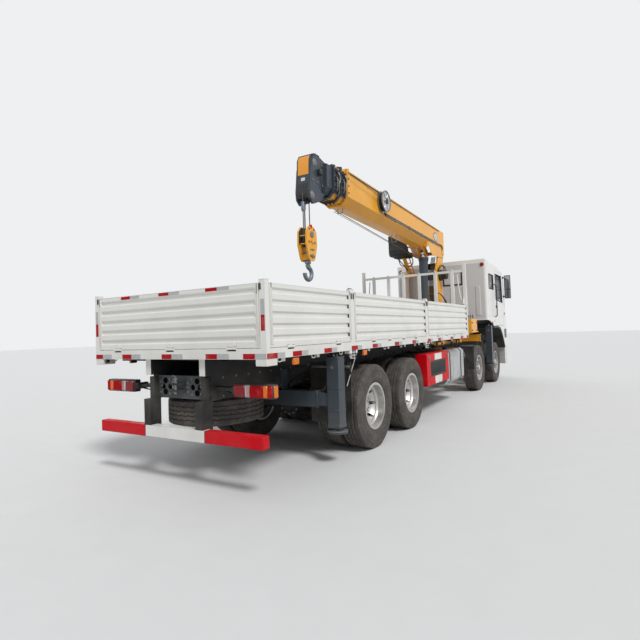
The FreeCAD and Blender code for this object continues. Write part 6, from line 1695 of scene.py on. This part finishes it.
def build_cushion(name, body, half, crown, place, channels=(), finish=SEAT_VINYL):
    """A crowned cushion with soft corners, drawn flat round the origin and put in place.

    Half is its size from the middle. Its channels run across it, and its sides are drawn in by the pull.
    """
    cushion = Piece(name, body)
    mesh = cushion.mesh
    bmesh.ops.create_cube(mesh, size=2.0)
    bmesh.ops.subdivide_edges(mesh, edges=mesh.edges[:], cuts=19, use_grid_fill=True)
    roll = min(half) * 0.62
    pull = 0.012
    number = cushion.number(finish)
    for corner in mesh.verts:
        unit = corner.co.copy()
        point = Vector((unit.x * half[0], unit.y * half[1], unit.z * half[2]))
        core = Vector([max(-(size - roll), min(size - roll, part)) for part, size in zip(point, half)])
        if (point - core).length > 1e-9:
            point = core + (point - core).normalized() * roll
        bulge = (1 - unit.x ** 2) * (1 - unit.y ** 2)
        point.z += unit.z * crown * bulge ** 0.7
        point.x -= unit.x * pull * (1 - unit.y ** 2) * (1 - unit.z ** 2)
        point.y -= unit.y * pull * (1 - unit.x ** 2) * (1 - unit.z ** 2)
        if unit.z > 0:
            for line in channels:
                point.z -= 0.011 * math.exp(-((point.x - line) / 0.009) ** 2) * (1 - unit.y ** 8)
            point.z += 0.0012 * math.sin(point.x * 61 + point.y * 23) * math.sin(point.y * 37 - point.x * 17)
        corner.co = place @ point
    for face in mesh.faces:
        face.material_index = number
        face.smooth = True
    cushion.done()
    piping = Piece(name + "_seams", body)
    for level in (0.55, -0.55):
        rim = []
        for step in range(41):
            angle = 2 * math.pi * step / 40
            c, s = math.cos(angle), math.sin(angle)
            x = (half[0] - 0.002) * math.copysign(abs(c) ** 0.35, c)
            y = (half[1] - 0.002) * math.copysign(abs(s) ** 0.35, s)
            x -= math.copysign(pull, x) * (1 - (y / half[1]) ** 2) * 0.7
            y -= math.copysign(pull, y) * (1 - (x / half[0]) ** 2) * 0.7
            rim.append(place @ Vector((x, y, half[2] * level)))
        piping.pipe(rim, 0.0042, SEAL_RUBBER, 0)
    piping.done()


def lean(x, y, z, degrees):
    return Matrix.Translation((x, y, z)) @ Matrix.Rotation(math.radians(degrees), 4, "Y")


def build_operator_seat():
    y = 0.550
    for name, half, crown, place, channels in (
        ("operator_cushion", (0.205, 0.222, 0.044), 0.022, lean(8.072, y, 3.424, -2.7), (-0.09, 0.0, 0.09)),
        ("operator_back", (0.200, 0.222, 0.040), 0.022, lean(7.842, y, 3.672, 98), (-0.10, 0.0, 0.10)),
        ("operator_head_rest", (0.056, 0.115, 0.032), 0.012, lean(7.792, y, 3.942, 95), ()),
    ):
        build_cushion(name, "superstructure", half, crown, place, channels)
    shell = Piece("operator_shell", "superstructure")
    shell.slab("XZ", [(8.275, 3.366), (8.275, 3.380), (7.860, 3.385), (7.806, 3.455), (7.790, 3.878),
                      (7.765, 3.878), (7.792, 3.420), (7.850, 3.366)], y - 0.235, y + 0.235,
               BLACK_MOULDING, 0.008)
    for side in (-1, 1):
        edge = y + side * 0.238
        shell.slab("XZ", [(8.280, 3.372), (8.285, 3.420), (8.05, 3.432), (7.90, 3.470), (7.850, 3.60),
                          (7.800, 3.60), (7.812, 3.430), (7.860, 3.372)], edge - 0.006, edge + 0.006,
                   BLACK_MOULDING, 0.003)
        shell.rod((7.778, y + side * 0.055, 3.86), (7.778, y + side * 0.055, 3.93), 0.007, WORN_STEEL)
    shell.pipe([(8.25, 0.36, 3.375), (8.33, 0.36, 3.34), (8.38, 0.37, 3.22), (8.39, 0.42, 3.165),
                (8.39, 0.60, 3.165), (8.38, 0.72, 3.20), (8.33, 0.73, 3.33), (8.25, 0.73, 3.375)], 0.013,
               BLACK_MOULDING)
    shell.pipe([(7.80, y - 0.245, 3.50), (7.86, y - 0.262, 3.58), (8.05, y - 0.265, 3.60),
                (8.20, y - 0.262, 3.58), (8.24, y - 0.252, 3.50), (8.24, y - 0.245, 3.40)], 0.012,
               BLACK_MOULDING)
    for lever in range(4):
        x = 8.155 + 0.030 * lever
        shell.rod((x, 0.785, 3.40), (x, 0.790, 3.60), 0.005, WORN_STEEL)
        shell.rod((x, 0.7895, 3.585), (x, 0.7905, 3.630), 0.010, BLACK_MOULDING)
    shell.block((8.135, 8.265), (0.765, 0.800), (3.370, 3.430), FRAME_BLACK, 0.006)
    shell.done("operator_seat")


CAB_FLOOR = 1.742
SEAT_Y = 0.620
STEERING = (SEAT_Y, 2.110)


def build_cab_cushions():
    for side_name, side in SIDES.items():
        y = side * SEAT_Y
        for name, half, crown, place, channels in (
            ("seat_cushion_", (0.245, 0.236, 0.046), 0.020, lean(10.615, y, 2.104, -2), (-0.10, 0.02, 0.13)),
            ("seat_back_", (0.270, 0.232, 0.052), 0.018, lean(10.330, y, 2.440, 101), (-0.15, 0.0, 0.14)),
            ("seat_head_rest_", (0.090, 0.125, 0.036), 0.012, lean(10.262, y, 2.835, 96), ()),
        ):
            build_cushion(name + side_name, "truck", half, crown, place, channels)
    build_cushion("bunk_mattress", "truck", (0.292, 1.105, 0.060), 0.014, lean(9.780, 0, 1.992, 0),
                  finish=CAB_TRIM)


def add_steering_wheel(room):
    """Rim, boss with its column, and four spokes."""
    def on_wheel(x, radius, angle):
        return (x, STEERING[0] + radius * math.cos(angle), STEERING[1] + radius * math.sin(angle))
    room.pipe([on_wheel(11.380, 0.223, step * math.pi / 24) for step in range(49)], 0.0155, BLACK_MOULDING)
    room.lathe("X", (11.385, *STEERING), [(-0.030, 0.001), (-0.028, 0.050), (-0.010, 0.062), (0.010, 0.060),
                                          (0.020, 0.035), (0.130, 0.028)], BLACK_MOULDING, 28)
    for degrees in (0, 180, 250, 290):
        angle = math.radians(degrees)
        room.rod(on_wheel(11.378, 0.05, angle), on_wheel(11.380, 0.215, angle), 0.010, BLACK_MOULDING)


def build_cab_room():
    room = Piece("cab_room_fittings", "truck")
    for half in room.both_sides():
        half.block((10.36, 10.74), (SEAT_Y - 0.165, SEAT_Y + 0.165), (CAB_FLOOR, 1.98), BLACK_MOULDING, 0.012)
        half.block((10.33, 10.80), (SEAT_Y - 0.20, SEAT_Y + 0.20), (1.975, 2.048), BLACK_MOULDING, 0.015)
        for y in (SEAT_Y - 0.05, SEAT_Y + 0.05):
            half.rod((10.262, y, 2.66), (10.262, y, 2.78), 0.007, WORN_STEEL)
        half.rod((10.33, SEAT_Y - 0.262, 2.10), (10.42, SEAT_Y - 0.262, 2.04), 0.012, GUARD_RED)
        half.pipe([(9.465, 1.15, 1.95), (9.465, 1.17, 2.6), (9.60, 1.18, 3.0)], 0.010, CAB_TRIM)
    room.block((9.485, 10.075), (-1.115, 1.115), (CAB_FLOOR, 1.932), CAB_TRIM, 0.012)
    room.slab("XZ", [(11.500, 2.060), (11.545, 2.165), (11.600, 2.172), (11.780, 2.118), (11.780, 1.900),
                     (11.560, 1.780)], -1.148, 1.148, CAB_TRIM, 0.010)
    room.block((11.615, 11.705), (-1.0, 1.0), (CAB_FLOOR, 1.86), CAB_TRIM, 0.006)
    room.slab("XZ", [(11.470, 2.130), (11.505, 2.178), (11.600, 2.182), (11.600, 2.150), (11.520, 2.120),
                     (11.495, 2.065)], 0.36, 0.90, BLACK_MOULDING, 0.006)
    for y in (0.50, 0.64, 0.78):
        room.lathe("X", (11.520, y, 2.118), [(0, 0.055), (-0.008, 0.055), (-0.010, 0.050), (-0.006, 0.048),
                                             (-0.006, 0.001)], SEAL_RUBBER, 28)
    vent = Piece().block((-0.004, 0.004), (-0.050, 0.050), (-0.003, 0.003), SEAL_RUBBER, 0.001)
    for y in (-1.02, -0.45, 0.20, 1.02):
        room.repeat(vent, 5, SEAL_RUBBER, step=(0.004, 0, 0.012), centre=(11.498, y, 2.040))
    room.block((11.490, 11.515), (-0.20, 0.10), (1.95, 2.05), SEAL_RUBBER, 0.004)
    for number in range(6):
        room.lathe("X", (11.488, -0.175 + 0.05 * number, 1.975),
                   [(0, 0.014), (-0.012, 0.013), (-0.013, 0.001)], WORN_STEEL, 16)
    add_steering_wheel(room)
    room.block((10.95, 11.35), (-0.18, 0.18), (CAB_FLOOR, 1.93), CAB_TRIM, 0.020)
    room.pipe([(11.15, 0.10, 1.92), (11.15, 0.11, 2.02), (11.12, 0.13, 2.12)], 0.010, WORN_STEEL)
    room.lathe("Z", (11.118, 0.132, 2.105), [(0, 0.012), (0.008, 0.022), (0.030, 0.026), (0.045, 0.018),
                                             (0.050, 0.001)], BLACK_MOULDING, 18)
    for y in (0.46, 0.62, 0.76):
        room.block((11.50, 11.535), (y - 0.035, y + 0.035), (CAB_FLOOR + 0.02, CAB_FLOOR + 0.13),
                   BLACK_MOULDING, 0.006)
    room.done("cab_interior")


build_operator_seat()
build_cab_cushions()
build_cab_room()


# Floor

def lay_floor():
    mesh = bpy.data.meshes.new("floor")
    mesh.from_pydata([(-90, -90, 0), (90, -90, 0), (90, 90, 0), (-90, 90, 0)], [], [(0, 1, 2, 3)])
    floor = bpy.data.objects.new("floor", mesh)
    bpy.context.collection.objects.link(floor)
    ground = Finish("studio_floor", (0.66, 0.66, 0.65), 0.85)
    ground.over((0.645, 0.645, 0.635), ground.cloud(3.0, 5).between(0.3, 0.8))
    mesh.materials.append(ground.done())


lay_floor()
